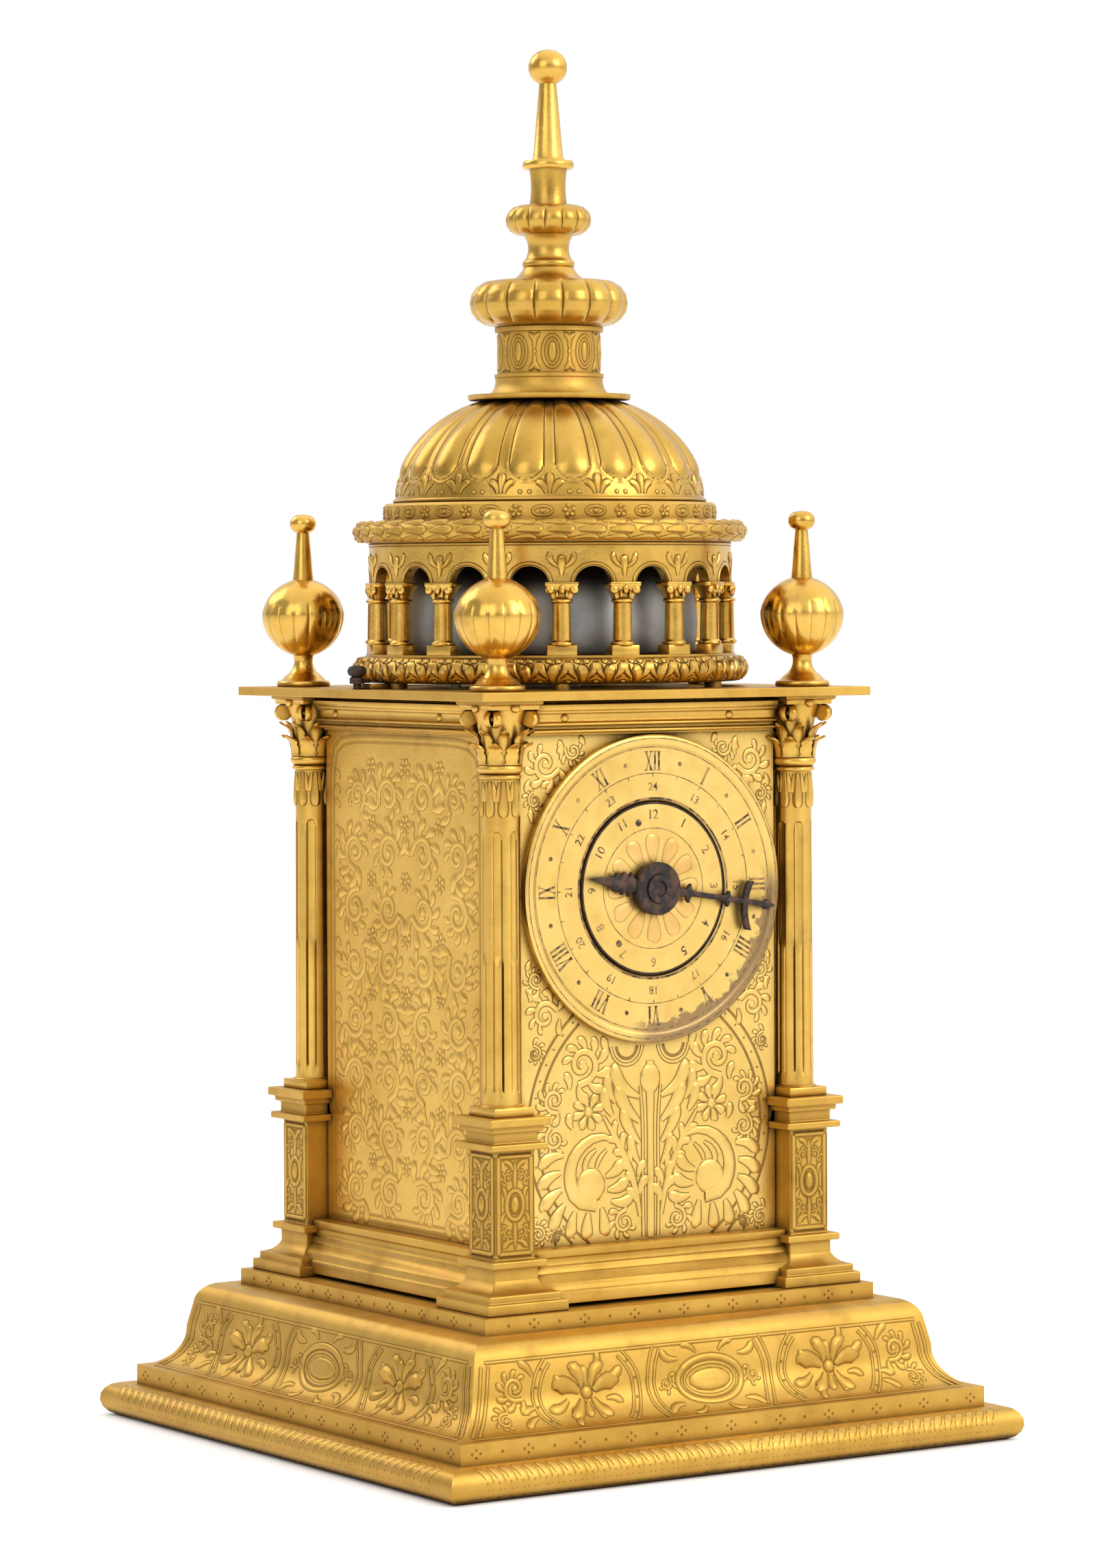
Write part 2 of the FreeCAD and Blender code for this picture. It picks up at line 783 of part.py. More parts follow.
def make_gallery_base():
    """The gallery's base ring on small feet, with a lug under the turn-button."""
    inner = S.arcade_radius - S.arcade_wall
    outer = S.ring_radius - S.ring_bulge
    ring = turned([
        (inner, 0),
        (outer, 0),
        (outer, S.ring_height, S.ring_radius, S.ring_height * 0.5),
        (inner, S.ring_height),
    ])
    place(ring, 0, 0, ring_low)
    feet = []
    for angle in spread(int(S.gallery_foot_count.value)):
        circle = (inner + outer) / 2
        x = circle * math.cos(math.radians(angle))
        y = circle * math.sin(math.radians(angle))
        feet.append(upright_rod(S.gallery_foot_radius, x, y, roof, ring_low + 0.5))
    lug = box(-S.ring_radius - S.latch_lug_reach, -inner - 1, S.latch_place - S.latch_lug_width / 2,
              S.latch_place + S.latch_lug_width / 2, roof, roof + S.latch_lug_thick)
    piece(join([ring, lug] + feet), "gallery_base")


def arcade_hoop(height):
    """A stretch of the arcade's wall, from its own zero up to a height."""
    inner = S.arcade_radius - S.arcade_wall
    return turned([(inner, 0), (S.arcade_radius, 0), (S.arcade_radius, height), (inner, height)])


def make_arcade():
    """The arcade: a sill ring, the piers of its left and right half, and the ring of arch heads on them."""
    half = S.arch_width / 2
    spring = S.arch_crown - half
    piece(place(arcade_hoop(S.arch_sill), 0, 0, arcade_low), "gallery_sill")

    pier = spring - S.arch_sill
    reach = S.arcade_radius + 1
    for name, sign in (("left", -1), ("right", 1)):
        ways = []
        for angle in spread(int(S.arch_count.value))[:int(S.arch_count.value) // 2]:
            way = prism("XZ_Plane", [(-half, -1), (half, -1), (half, pier + 1), (-half, pier + 1)], reach * 2)
            ways.append(place(way, 0, 0, 0, FreeCAD.Rotation(FreeCAD.Vector(0, 0, 1), angle)))
        x = span(sign, as_size(0), reach)
        row = doc.addObject("Part::Common", "piers")
        row.Base = cut(arcade_hoop(pier), ways)
        row.Tool = box(x[0], x[1], -reach, reach, -1, pier + 1)
        piece(place(row, 0, 0, arcade_low + S.arch_sill), "gallery_piers_%s" % name)

    heads = arcade_hoop(S.arcade_height - spring)
    arch = new_sketch(heads, "XZ_Plane")
    draw(arch, [(-half, -1), (half, -1), (half, 0), (-half, 0, 0, half)])
    pocket = heads.newObject("PartDesign::Pocket", "arch")
    pocket.Profile = arch
    bind(pocket, "Length", reach)
    pattern = heads.newObject("PartDesign::PolarPattern", "arches")
    pattern.Originals = [pocket]
    pattern.Axis = (next(item for item in heads.Origin.OriginFeatures if item.Role == "Z_Axis"), [""])
    pattern.Angle = 360
    bind(pattern, "Occurrences", S.arch_count)
    heads.Tip = pattern
    piece(place(heads, 0, 0, arcade_low + spring), "gallery_arches")


def make_gallery_cornice():
    """The ring on the arcade: a torus, and a step that carries the dome."""
    torus = S.gallery_cornice_height
    opening = S.dome_radius - S.dome_wall
    edge = S.arcade_radius + S.gallery_cornice_overhang
    cornice = turned([
        (opening, 0),
        (edge, 0),
        (edge, torus, S.gallery_cornice_radius, torus * 0.5),
        (S.step_radius, torus),
        (S.step_radius, torus + S.step_height),
        (opening, torus + S.step_height),
    ])
    piece(place(cornice, 0, 0, cornice_low), "gallery_cornice")


def make_dome():
    """The dome's shell, closed above except for the spire's stud."""
    radius = S.dome_radius
    flat = S.dome_flat_radius
    height = S.dome_height
    wall = S.dome_wall
    bore = S.spire_stud_radius + S.fit_gap
    dome = turned([
        (radius - wall, 0, radius * 0.78 - wall * 0.6, height * 0.69 - wall * 0.8),
        (radius, 0),
        (flat, height, radius * 0.78, height * 0.69),
        (bore, height),
        (bore, height - wall),
        (flat, height - wall),
    ])
    piece(place(dome, 0, 0, lantern_low - height), "dome")


def make_spire():
    """Lantern, two knops and the spire, threaded on one stud and drawn down by a nut under the dome."""
    bore = S.spire_stud_radius + S.fit_gap
    drum = S.drum_radius
    lantern = turned([
        (bore, 0),
        (S.flare_radius, 0),
        (S.flare_radius, S.flare_lip),
        (drum + 0.6, S.flare_height, drum + 1.4, S.flare_height * 0.4),
        (drum, S.flare_height),
        (drum, S.flare_height + S.drum_height),
        (bore, S.flare_height + S.drum_height),
    ])
    piece(place(lantern, 0, 0, lantern_low), "lantern")

    waist = S.large_knop_radius - S.large_knop_height / 2
    top = S.large_knop_height + S.ogee_height
    large = turned([
        (bore, 0),
        (waist, 0),
        (waist, S.large_knop_height, S.large_knop_radius, S.large_knop_height * 0.5),
        (S.spire_neck_radius, top, S.spire_neck_radius + 1.1, top - S.ogee_height * 0.55),
        (bore, top),
    ])
    piece(place(large, 0, 0, large_knop_low), "large_knop")

    neck = S.spire_neck_radius
    knop_top = S.spire_neck_height + S.small_knop_height
    stem_top = knop_top + S.spire_stem_height
    small = turned([
        (bore, 0),
        (neck, 0),
        (neck, S.spire_neck_height),
        (S.spire_stem_radius + 0.8, knop_top, S.small_knop_radius, S.spire_neck_height + S.small_knop_height * 0.5),
        (S.spire_stem_radius, knop_top),
        (S.spire_stem_radius, stem_top),
        (bore, stem_top),
    ])
    piece(place(small, 0, 0, small_knop_low), "small_knop")

    cone_top = S.collar_height + S.cone_height
    stack = stem_top + top + S.flare_height + S.drum_height + S.dome_wall
    tail = stack + S.spire_nut_height + 0.5
    spire = turned([
        (0, -tail),
        (S.spire_stud_radius, -tail),
        (S.spire_stud_radius, 0),
        (S.collar_radius, 0),
        (S.collar_radius, S.collar_height),
        (S.cone_foot_radius, S.collar_height),
        (S.cone_tip_radius, cone_top),
        (S.tip_flat, cone_top + S.ball_height, S.ball_radius, cone_top + S.ball_height * 0.5),
        (0, cone_top + S.ball_height),
    ])
    piece(place(spire, 0, 0, spire_low), "spire")
    high = lantern_low - S.dome_wall
    piece(nut(S.spire_nut_radius, bore, high - S.spire_nut_height, high), "spire_nut")


def nut(radius, bore, low, high):
    """A hexagonal nut on the clock's axis."""
    block = doc.addObject("Part::Prism", "nut")
    block.Polygon = 6
    bind(block, "Circumradius", radius)
    bind(block, "Height", high - low)
    place(block, 0, 0, low)
    return cut(block, [upright_rod(bore, 0, 0, low - 1, high + 1)])


def make_bell():
    """The bell on its post, held by a nut."""
    crown = S.bell_height - S.bell_wall
    bore = S.bell_stud_radius + S.fit_gap
    flat = S.bell_crown_radius
    wall = S.bell_wall
    shoulder = S.bell_shoulder_radius
    bell = turned([
        (S.bell_radius - wall, 0, shoulder - wall * 0.8, S.bell_height * 0.6 - wall * 0.6),
        (S.bell_radius, 0),
        (flat, S.bell_height, shoulder, S.bell_height * 0.6),
        (bore, S.bell_height),
        (bore, crown),
        (flat, crown),
    ])
    piece(place(bell, 0, 0, bell_low), "bell")
    seat = S.bell_lift + crown
    stud = S.bell_stud_radius
    post = turned([
        (0, -S.plate_thick),
        (stud, -S.plate_thick),
        (stud, 0),
        (S.bell_post_flange, 0),
        (S.bell_post_flange, S.bell_post_flange_thick),
        (S.bell_post_radius, S.bell_post_flange_thick * 2),
        (S.bell_post_radius, seat),
        (stud, seat),
        (stud, seat + wall + S.bell_nut_height + 1),
        (0, seat + wall + S.bell_nut_height + 1),
    ])
    piece(place(post, 0, 0, roof), "bell_post")
    top = bell_low + S.bell_height
    piece(nut(S.bell_nut_radius, bore, top, top + S.bell_nut_height), "bell_nut")


def make_dial():
    """The dial ring on the front panel and the alarm disc inside it."""
    thick = S.dial_thick
    rim = S.dial_radius - S.dial_rim_width
    dial = turned([
        (S.dial_bore, 0),
        (S.dial_radius, 0),
        (S.dial_radius, thick),
        (rim, thick + S.dial_rim_height, S.dial_radius - S.dial_rim_width * 0.4, thick + S.dial_rim_height),
        (rim, thick),
        (S.dial_bore, thick),
    ])
    piece(place(dial, 0, -S.panel_face, dial_level, ALONG_Y), "dial")

    disc = turned([
        (S.pipe_radius + S.fit_gap, S.alarm_gap),
        (S.alarm_radius, S.alarm_gap),
        (S.alarm_radius, S.alarm_gap + S.alarm_thick),
        (S.pipe_radius + S.fit_gap, S.alarm_gap + S.alarm_thick),
    ])
    place(disc, 0, -S.panel_face, dial_level, ALONG_Y)
    holes = []
    for degrees in (S.setting_hole_first, S.setting_hole_second):
        angle = math.radians(degrees.value)
        x = S.setting_hole_circle * math.cos(angle)
        z = dial_level + S.setting_hole_circle * math.sin(angle)
        holes.append(arbor(S.setting_hole_radius, x, z, -S.panel_face - 3, -S.panel_face))
    piece(cut(disc, holes), "alarm_disc")


def make_hand():
    """The iron hour hand: hub, pointer with a spear and a cross of lobes, and a short tail."""
    half = S.hand_width / 2
    spear = S.hand_reach - S.hand_spear_length
    blade = prism("XY_Plane", [
        (-S.hand_tail, -half * 0.3),
        (0, -half),
        (spear, -half * 0.8),
        (spear + S.hand_spear_length * 0.4, -S.hand_spear_width / 2),
        (S.hand_reach, 0),
        (spear + S.hand_spear_length * 0.4, S.hand_spear_width / 2),
        (spear, half * 0.8),
        (0, half),
        (-S.hand_tail, half * 0.3),
    ], S.hand_thick)
    lobes = []
    for x, y in ((0, 1), (0, -1), (1.2, 0)):
        lobe = doc.addObject("Part::Cylinder", "lobe")
        bind(lobe, "Radius", S.hand_lobe_radius)
        bind(lobe, "Height", S.hand_thick)
        along = S.hand_lobe_place + S.hand_lobe_radius * x
        lobes.append(place(lobe, along, S.hand_lobe_radius * y * 1.1, -S.hand_thick / 2))
    hub = doc.addObject("Part::Cylinder", "hub")
    bind(hub, "Radius", S.hand_hub_radius)
    bind(hub, "Height", S.hand_hub_thick)
    place(hub, 0, 0, -S.hand_hub_thick / 2)
    bore = doc.addObject("Part::Cylinder", "bore")
    bind(bore, "Radius", S.pipe_radius + S.fit_gap)
    bind(bore, "Height", S.hand_hub_thick + 2)
    place(bore, 0, 0, -S.hand_hub_thick / 2 - 1)
    hand = cut(join([blade, hub] + lobes), [bore])
    spin = FreeCAD.Rotation(FreeCAD.Vector(0, 0, 1), S.hand_angle.value)
    place(hand, 0, hand_front + S.hand_hub_thick / 2, dial_level, ALONG_Y.multiply(spin))
    piece(hand, "hour_hand")


def make_latch():
    """The turn-button that holds the gallery's lug down on the top plate."""
    low = roof + S.latch_lug_thick + S.seat_gap * 2
    x = -S.latch_axis
    y = S.latch_place
    toe = box(x, x + S.latch_toe_reach, y - S.latch_toe_width / 2, y + S.latch_toe_width / 2,
              low, low + S.latch_toe_thick)
    knob = upright_rod(S.latch_radius, x, y, low, low + S.latch_knob_height)
    collar = upright_rod(S.latch_stud_radius + 0.4, x, y, roof, low)
    stud = upright_rod(S.latch_stud_radius, x, y, plate_low, roof)
    piece(join([toe, knob, collar, stud]), "gallery_latch")


# Movement: planes and centres

def gear_distance(first, second, module):
    """The distance between the centres of two meshing wheels."""
    return (first + second) * module / 2


front_out = -S.movement_front
front_in = front_out + S.movement_plate_thick
back_out = S.movement_back
back_in = back_out - S.movement_plate_thick
movement_top = dial_level + S.movement_rise
train_offset = S.great_teeth * S.gear_module / 2 + S.gear_module * ADDENDUM + S.train_gap
barrel_level = dial_level - S.barrel_drop
second_level = barrel_level + gear_distance(S.great_teeth, S.pinion_teeth, S.gear_module)
third_level = second_level + gear_distance(S.wheel_teeth, S.pinion_teeth, S.gear_module)
wheel_back = back_in - S.wheel_setback
wheel_front = wheel_back - S.wheel_width
great_back = wheel_front - S.layer_gap
great_front = great_back - S.great_width
drum_front = great_front - S.drum_length
hand_back = -S.panel_face - S.alarm_gap - S.alarm_thick - S.hand_gap
hand_front = hand_back - S.hand_hub_thick
hour_back = front_out - S.hour_wheel_gap
hour_front = hour_back - S.hour_wheel_width
potence_back = wheel_front - S.pinion_overlap - S.layer_gap * 3
potence_front = potence_back - S.potence_thick
crown_back = potence_front - S.potence_gap
crown_tip = crown_back - S.crown_depth
verge_y = crown_tip - S.verge_gap
balance_low = movement_top + S.balance_lift
cock_low = balance_low + S.balance_thick + S.cock_gap
low_cock_top = third_level - S.low_cock_drop
hammer_x = -S.movement_half + S.hammer_inset
hammer_level = third_level


def pivot_holes(side, y0, y1, front):
    """The pivot holes of one train in one of the movement's plates."""
    x = train_offset * side
    barrel = S.pivot_radius if front else S.barrel_arbor_radius
    second = S.arbor_radius if front and side > 0 else S.pivot_radius
    holes = [
        arbor(barrel + S.fit_gap, x, barrel_level, y0, y1),
        arbor(second + S.fit_gap, x, second_level, y0, y1),
    ]
    if side < 0 or not front:
        holes.append(arbor(S.pivot_radius + S.fit_gap, x, third_level, y0, y1))
    return holes


def pillar_places():
    """The four places, as (x, z), of the movement's pillars."""
    wide = S.movement_half - S.pillar_inset
    low = deck + S.pillar_low_place
    high = movement_top - S.pillar_inset
    return [(-wide, low), (wide, low), (-S.pillar_high_place, high), (S.pillar_high_place, high)]


def make_movement_frame():
    """Front and back plates, standing on the deck, and the four pillars between them."""
    half = S.movement_half
    stud = S.pillar_stud_radius
    seats = [arbor(stud + S.fit_gap, x, z, front_out - 1, back_out + 1) for x, z in pillar_places()]
    hammer_hole = arbor(S.pivot_radius + S.fit_gap, hammer_x, hammer_level, front_out - 1, back_out + 1)

    plate = box(-half, half, front_out, front_in, deck, movement_top)
    holes = pivot_holes(1, front_out - 1, front_in + 1, True)
    holes += pivot_holes(-1, front_out - 1, front_in + 1, True)
    low_cock = box(train_offset - S.potence_half, train_offset + S.potence_half, front_in,
                   verge_y + S.potence_half, low_cock_top - S.cock_thick, low_cock_top)
    footing = upright_rod(S.pivot_radius + S.fit_gap, train_offset, verge_y, low_cock_top - S.cock_thick / 2,
                          low_cock_top + 1)
    stem = arbor(S.dial_stud_radius, 0, dial_level, hand_front + 0.4, front_out)
    piece(cut(join([plate, low_cock, stem]), holes + seats + [hammer_hole, footing]), "movement_front_plate")

    seats = [arbor(stud + S.fit_gap, x, z, front_out - 1, back_out + 1) for x, z in pillar_places()]
    hammer_hole = arbor(S.pivot_radius + S.fit_gap, hammer_x, hammer_level, front_out - 1, back_out + 1)
    plate = box(-half, half, back_in, back_out, deck, movement_top)
    holes = pivot_holes(1, potence_front - 1, back_out + 1, False)
    holes += pivot_holes(-1, back_in - 1, back_out + 1, False)
    rise = (S.pinion_teeth / 2 + ADDENDUM) * S.gear_module + S.layer_gap
    left = train_offset - S.potence_half
    right = train_offset + S.potence_half
    shelf = box(left, right, potence_front, back_in, third_level + rise, third_level + rise + S.potence_half)
    hanger = box(left, right, potence_front, potence_back, third_level - S.potence_half, third_level + rise)
    piece(cut(join([plate, shelf, hanger]), holes + seats + [hammer_hole]), "movement_back_plate")

    pillars = []
    for x, z in pillar_places():
        body = arbor(S.pillar_radius, x, z, front_in, back_in)
        pillars.append(join([body, arbor(stud, x, z, front_out, back_out)]))
    group = doc.addObject("Part::Compound", "pillars")
    group.Links = pillars
    piece(group, "movement_pillars")


def make_barrel(side, label):
    """A spring barrel with its great wheel, and an arbor that ends in a winding square at the back."""
    x = train_offset * side
    drum = arbor(S.drum_wall_radius, x, barrel_level, drum_front, great_front)
    great = wheel(S.great_teeth, S.gear_module, x, barrel_level, great_front, great_back, 90)
    shaft = arbor(S.barrel_arbor_radius, x, barrel_level, front_in + S.seat_gap * 2, back_out)
    pivot = arbor(S.pivot_radius, x, barrel_level, front_out, drum_front)
    half = S.winding_square / 2
    square = box(x - half, x + half, back_out - 1, panel_back - S.winding_reach, barrel_level - half,
                 barrel_level + half)
    piece(join([drum, great, shaft, pivot, square]), label)


def wheel_arbor(x, z, y0, y1):
    """A wheel's arbor between the two plates, with a pivot in each."""
    shaft = arbor(S.arbor_radius, x, z, front_in + S.seat_gap * 2, back_in - S.seat_gap * 2)
    return [shaft, arbor(S.pivot_radius, x, z, y0, y1)]


def mesh_phase(teeth):
    """Turn a wheel so that a gap between two teeth points straight down."""
    return -90 + 180.0 / teeth.value


def make_second_wheel():
    """The going train's second wheel, whose arbor drives the hour wheel in front of the plate."""
    x = train_offset
    over = S.pinion_overlap
    pinion = wheel(S.pinion_teeth, S.gear_module, x, second_level, great_front - over, great_back + over,
                   mesh_phase(S.pinion_teeth))
    big = wheel(S.wheel_teeth, S.gear_module, x, second_level, wheel_front, wheel_back, 90)
    driver = wheel(S.hour_pinion_teeth, hour_module, x, second_level, hour_front - over, hour_back + over,
                   hour_angle)
    front = arbor(S.arbor_radius, x, second_level, hour_front - over, front_in + S.seat_gap * 2)
    piece(join([pinion, big, driver, front] + wheel_arbor(x, second_level, front_in, back_out)), "second_wheel")


def make_hour_wheel():
    """The hour wheel, whose pipe carries the hand through the front panel."""
    teeth = S.hour_teeth
    disc = wheel(teeth, hour_module, 0, dial_level, hour_front, hour_back, hour_angle + 180 - 180.0 / teeth.value)
    pipe = arbor(S.pipe_radius, 0, dial_level, hand_front, hour_back)
    bore = arbor(S.dial_stud_radius + S.fit_gap, 0, dial_level, hand_front - 1, hour_back + 1)
    piece(cut(join([disc, pipe]), [bore]), "hour_wheel")


def make_crown_wheel():
    """The crown wheel: a cup with teeth on its rim, ahead of its potence, and its pinion."""
    x = train_offset
    depth = S.crown_depth
    cup = turned([
        (0, 0),
        (S.crown_radius, 0),
        (S.crown_radius, depth),
        (S.crown_radius - S.crown_wall, depth),
        (S.crown_radius - S.crown_wall, S.crown_wall),
        (0, S.crown_wall),
    ])
    notch = new_sketch(cup, "XZ_Plane")
    half = S.crown_tooth_gap / 2
    draw(notch, [(-half, depth + 1), (-half, depth - S.crown_tooth_depth), (half, depth), (half, depth + 1)])
    pocket = cup.newObject("PartDesign::Pocket", "notch")
    pocket.Profile = notch
    bind(pocket, "Length", S.crown_radius + 1)
    pattern = cup.newObject("PartDesign::PolarPattern", "notches")
    pattern.Originals = [pocket]
    pattern.Axis = (next(item for item in cup.Origin.OriginFeatures if item.Role == "Z_Axis"), [""])
    pattern.Angle = 360
    bind(pattern, "Occurrences", S.crown_tooth_count)
    cup.Tip = pattern
    place(cup, x, crown_back, third_level, ALONG_Y)
    over = S.pinion_overlap
    pinion = wheel(S.pinion_teeth, S.gear_module, x, third_level, wheel_front - over, wheel_back + over,
                   mesh_phase(S.pinion_teeth))
    shaft = arbor(S.arbor_radius, x, third_level, potence_back + S.seat_gap * 2, back_in - S.seat_gap * 2)
    pivot = arbor(S.pivot_radius, x, third_level, crown_back - 0.5, back_out)
    piece(join([cup, pinion, shaft, pivot]), "crown_wheel")


def make_balance():
    """The balance on its upright verge, with two pallets that stand clear of the crown wheel, and its cock."""
    x = train_offset
    rim = turned([
        (S.balance_radius - S.balance_rim, 0),
        (S.balance_radius, 0),
        (S.balance_radius, S.balance_thick),
        (S.balance_radius - S.balance_rim, S.balance_thick),
    ])
    place(rim, x, verge_y, balance_low)
    arm_half = S.balance_radius - S.balance_rim / 2
    bar = box(x - arm_half, x + arm_half, verge_y - S.balance_rim / 2, verge_y + S.balance_rim / 2,
              balance_low, balance_low + S.balance_thick)
    staff = upright_rod(S.verge_radius, x, verge_y, low_cock_top + S.seat_gap * 2, cock_low - S.seat_gap * 2)
    pivot = upright_rod(S.pivot_radius, x, verge_y, low_cock_top - S.cock_thick / 2, cock_low + S.cock_thick)
    middle = S.crown_radius - S.crown_wall / 2
    pallets = []
    for z in (third_level - middle, third_level + middle):
        pallets.append(box(x - S.pallet_thick / 2, x + S.pallet_thick / 2, verge_y, verge_y + S.pallet_reach,
                           z - S.pallet_width / 2, z + S.pallet_width / 2))
    piece(join([rim, bar, staff, pivot] + pallets), "balance")

    half = S.potence_half
    leg = box(x - half, x + half, front_out, front_in, movement_top, cock_low)
    arm = box(x - half, x + half, front_out, verge_y + half, cock_low, cock_low + S.cock_thick)
    eye = upright_rod(S.pivot_radius + S.fit_gap, x, verge_y, cock_low - 1, cock_low + S.cock_thick + 1)
    piece(cut(join([leg, arm]), [eye]), "balance_cock")


def make_pin_wheel():
    """The striking train's pin wheel, whose pins lift the hammer's tail."""
    x = -train_offset
    over = S.pinion_overlap
    pinion = wheel(S.pinion_teeth, S.gear_module, x, second_level, great_front - over, great_back + over,
                   mesh_phase(S.pinion_teeth))
    big = wheel(S.wheel_teeth, S.gear_module, x, second_level, wheel_front, wheel_back, 90)
    pins = []
    for angle in spread(int(S.pin_count.value)):
        px = x + S.pin_circle * math.cos(math.radians(angle))
        pz = second_level + S.pin_circle * math.sin(math.radians(angle))
        pins.append(arbor(S.pin_radius, px, pz, wheel_back - 0.5, wheel_back + S.pin_length))
    piece(join([pinion, big] + pins + wheel_arbor(x, second_level, front_out, back_out)), "pin_wheel")


def make_fly():
    """The fly, a vane that steadies the striking train."""
    x = -train_offset
    over = S.pinion_overlap
    pinion = wheel(S.pinion_teeth, S.gear_module, x, third_level, wheel_front - over, wheel_back + over,
                   mesh_phase(S.pinion_teeth))
    vane_back = wheel_back - S.fly_setback + S.layer_gap * 2
    vane = box(x - S.fly_half, x + S.fly_half, vane_back - S.fly_length, vane_back,
               third_level - S.fly_thick / 2, third_level + S.fly_thick / 2)
    piece(join([pinion, vane] + wheel_arbor(x, third_level, front_out, back_out)), "fly")


def hammer_head_place():
    """The hammer head's centre, as (x, z), inside the bell's wall."""
    z = bell_low + S.hammer_strike_rise
    inside = S.bell_radius - S.bell_wall
    return -inside + S.hammer_head_radius + S.hammer_rest_gap, z


def hammer_slot():
    """The slot's ends along X where the hammer's arm swings through the top plate."""
    head_x, head_z = hammer_head_place()
    share = (roof - hammer_level) / (head_z - hammer_level)
    rest = hammer_x + (head_x - hammer_x) * share
    swing = (roof - hammer_level) * math.sin(math.radians(S.hammer_draw.value))
    return rest - S.hammer_rod_radius * 4, rest + swing + S.hammer_rod_radius * 3


def make_hammer():
    """The hammer: arbor between the plates, tail beside the pin wheel, rod through the top plate and head."""
    head_x, head_z = hammer_head_place()
    lean = math.degrees(math.atan2((head_x - hammer_x).value, (head_z - hammer_level).value))
    length = math.hypot((head_x - hammer_x).value, (head_z - hammer_level).value)
    rod = doc.addObject("Part::Cylinder", "rod")
    bind(rod, "Radius", S.hammer_rod_radius)
    rod.Height = length
    place(rod, hammer_x, 0, hammer_level, FreeCAD.Rotation(FreeCAD.Vector(0, 1, 0), lean))
    head = doc.addObject("Part::Sphere", "head")
    bind(head, "Radius", S.hammer_head_radius)
    place(head, head_x, 0, head_z)
    shaft = arbor(S.hammer_arbor_radius, hammer_x, hammer_level, front_in + S.seat_gap * 2, back_in - S.seat_gap * 2)
    pivot = arbor(S.pivot_radius, hammer_x, hammer_level, front_out, back_out)
    half = S.hammer_tail_width / 2
    pin_edge = -train_offset - S.pin_circle - S.pin_radius
    tail_x = pin_edge - S.seat_gap * 6 - half
    tail = box(tail_x - half, tail_x + half, wheel_back + S.seat_gap * 4, wheel_back + S.pin_length,
               hammer_level - S.hammer_tail_length, hammer_level)
    piece(join([rod, head, shaft, pivot, tail]), "hammer")


# The hour wheel's mesh, from where the second arbor and the dial's centre stand

hour_run = math.hypot(train_offset.value, (dial_level - second_level).value)
hour_module = 2 * hour_run / (S.hour_teeth.value + S.hour_pinion_teeth.value)
hour_angle = math.degrees(math.atan2((dial_level - second_level).value, -train_offset.value))

make_plinth()
make_pedestals()
make_columns()
make_posts()
make_panels()
make_base_mouldings()
make_cornices()
make_top_plate()
make_finials()
make_gallery_base()
make_arcade()
make_gallery_cornice()
make_dome()
make_spire()
make_bell()
make_dial()
make_hand()
make_latch()
make_movement_frame()
make_barrel(1, "going_barrel")
make_barrel(-1, "strike_barrel")
make_second_wheel()
make_hour_wheel()
make_crown_wheel()
make_balance()
make_pin_wheel()
make_fly()
make_hammer()

doc.recompute()
for item in doc.Objects:
    if "Invalid" in item.State or "Error" in item.State:
        raise RuntimeError("%s (%s) did not compute: %s" % (item.Label, item.Name, item.State))
for item in pieces:
    if item.Shape.isNull() or not item.Shape.isValid():
        raise RuntimeError("%s has no valid shape" % item.Label)
os.makedirs("parts", exist_ok=True)
for item in pieces:
    item.Shape.exportStep("parts/%s.step" % item.Label)
print("%d pieces written" % len(pieces))
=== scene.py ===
"""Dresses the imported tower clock: chased gilt pieces, iron hand, bell, finishes, light and camera.

Sizes are millimetres in the frame of the CAD model; a piece becomes metres when it is made an object.
"""
from __future__ import annotations

import json
import logging
from dataclasses import dataclass
from enum import Enum
from math import atan2, cos, exp, hypot, pi, radians, sin, sqrt
from typing import Callable, Iterable, Sequence, Union

import bmesh
import bpy
from mathutils import Matrix, Vector


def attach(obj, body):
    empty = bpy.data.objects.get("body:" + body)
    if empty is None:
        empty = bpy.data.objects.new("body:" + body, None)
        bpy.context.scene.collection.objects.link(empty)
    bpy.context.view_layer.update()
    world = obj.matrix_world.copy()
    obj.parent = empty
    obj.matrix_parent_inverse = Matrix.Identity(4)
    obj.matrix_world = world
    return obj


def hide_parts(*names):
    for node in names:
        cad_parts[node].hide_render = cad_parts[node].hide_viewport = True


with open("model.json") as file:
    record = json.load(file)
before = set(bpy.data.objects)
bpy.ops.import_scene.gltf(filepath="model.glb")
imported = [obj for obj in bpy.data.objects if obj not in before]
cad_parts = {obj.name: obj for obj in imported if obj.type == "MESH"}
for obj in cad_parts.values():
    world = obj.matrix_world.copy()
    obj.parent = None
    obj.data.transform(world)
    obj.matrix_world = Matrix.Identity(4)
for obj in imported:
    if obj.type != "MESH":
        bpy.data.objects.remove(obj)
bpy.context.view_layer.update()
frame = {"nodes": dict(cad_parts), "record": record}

LOG = logging.getLogger("tower_clock")
MM = 0.001
TURN = 2 * pi
MERGE = 1e-4
SHARP = radians(38)
CREASE = radians(32)
GROOVE = "groove"
HANDS = (-1, 1)
Flat = tuple[float, float]
Outline = list[Flat]
Spot = Sequence[float]
Points = Sequence[Spot]
Lay = Callable[[float, float, float], Vector]


def turned(angle: float) -> Matrix:
    """A turn about the upright axis."""
    return Matrix.Rotation(angle, 4, "Z")


def linked(name: str, data: bpy.types.ID) -> bpy.types.Object:
    """A new object in the scene."""
    item = bpy.data.objects.new(name, data)
    bpy.context.scene.collection.objects.link(item)
    return item


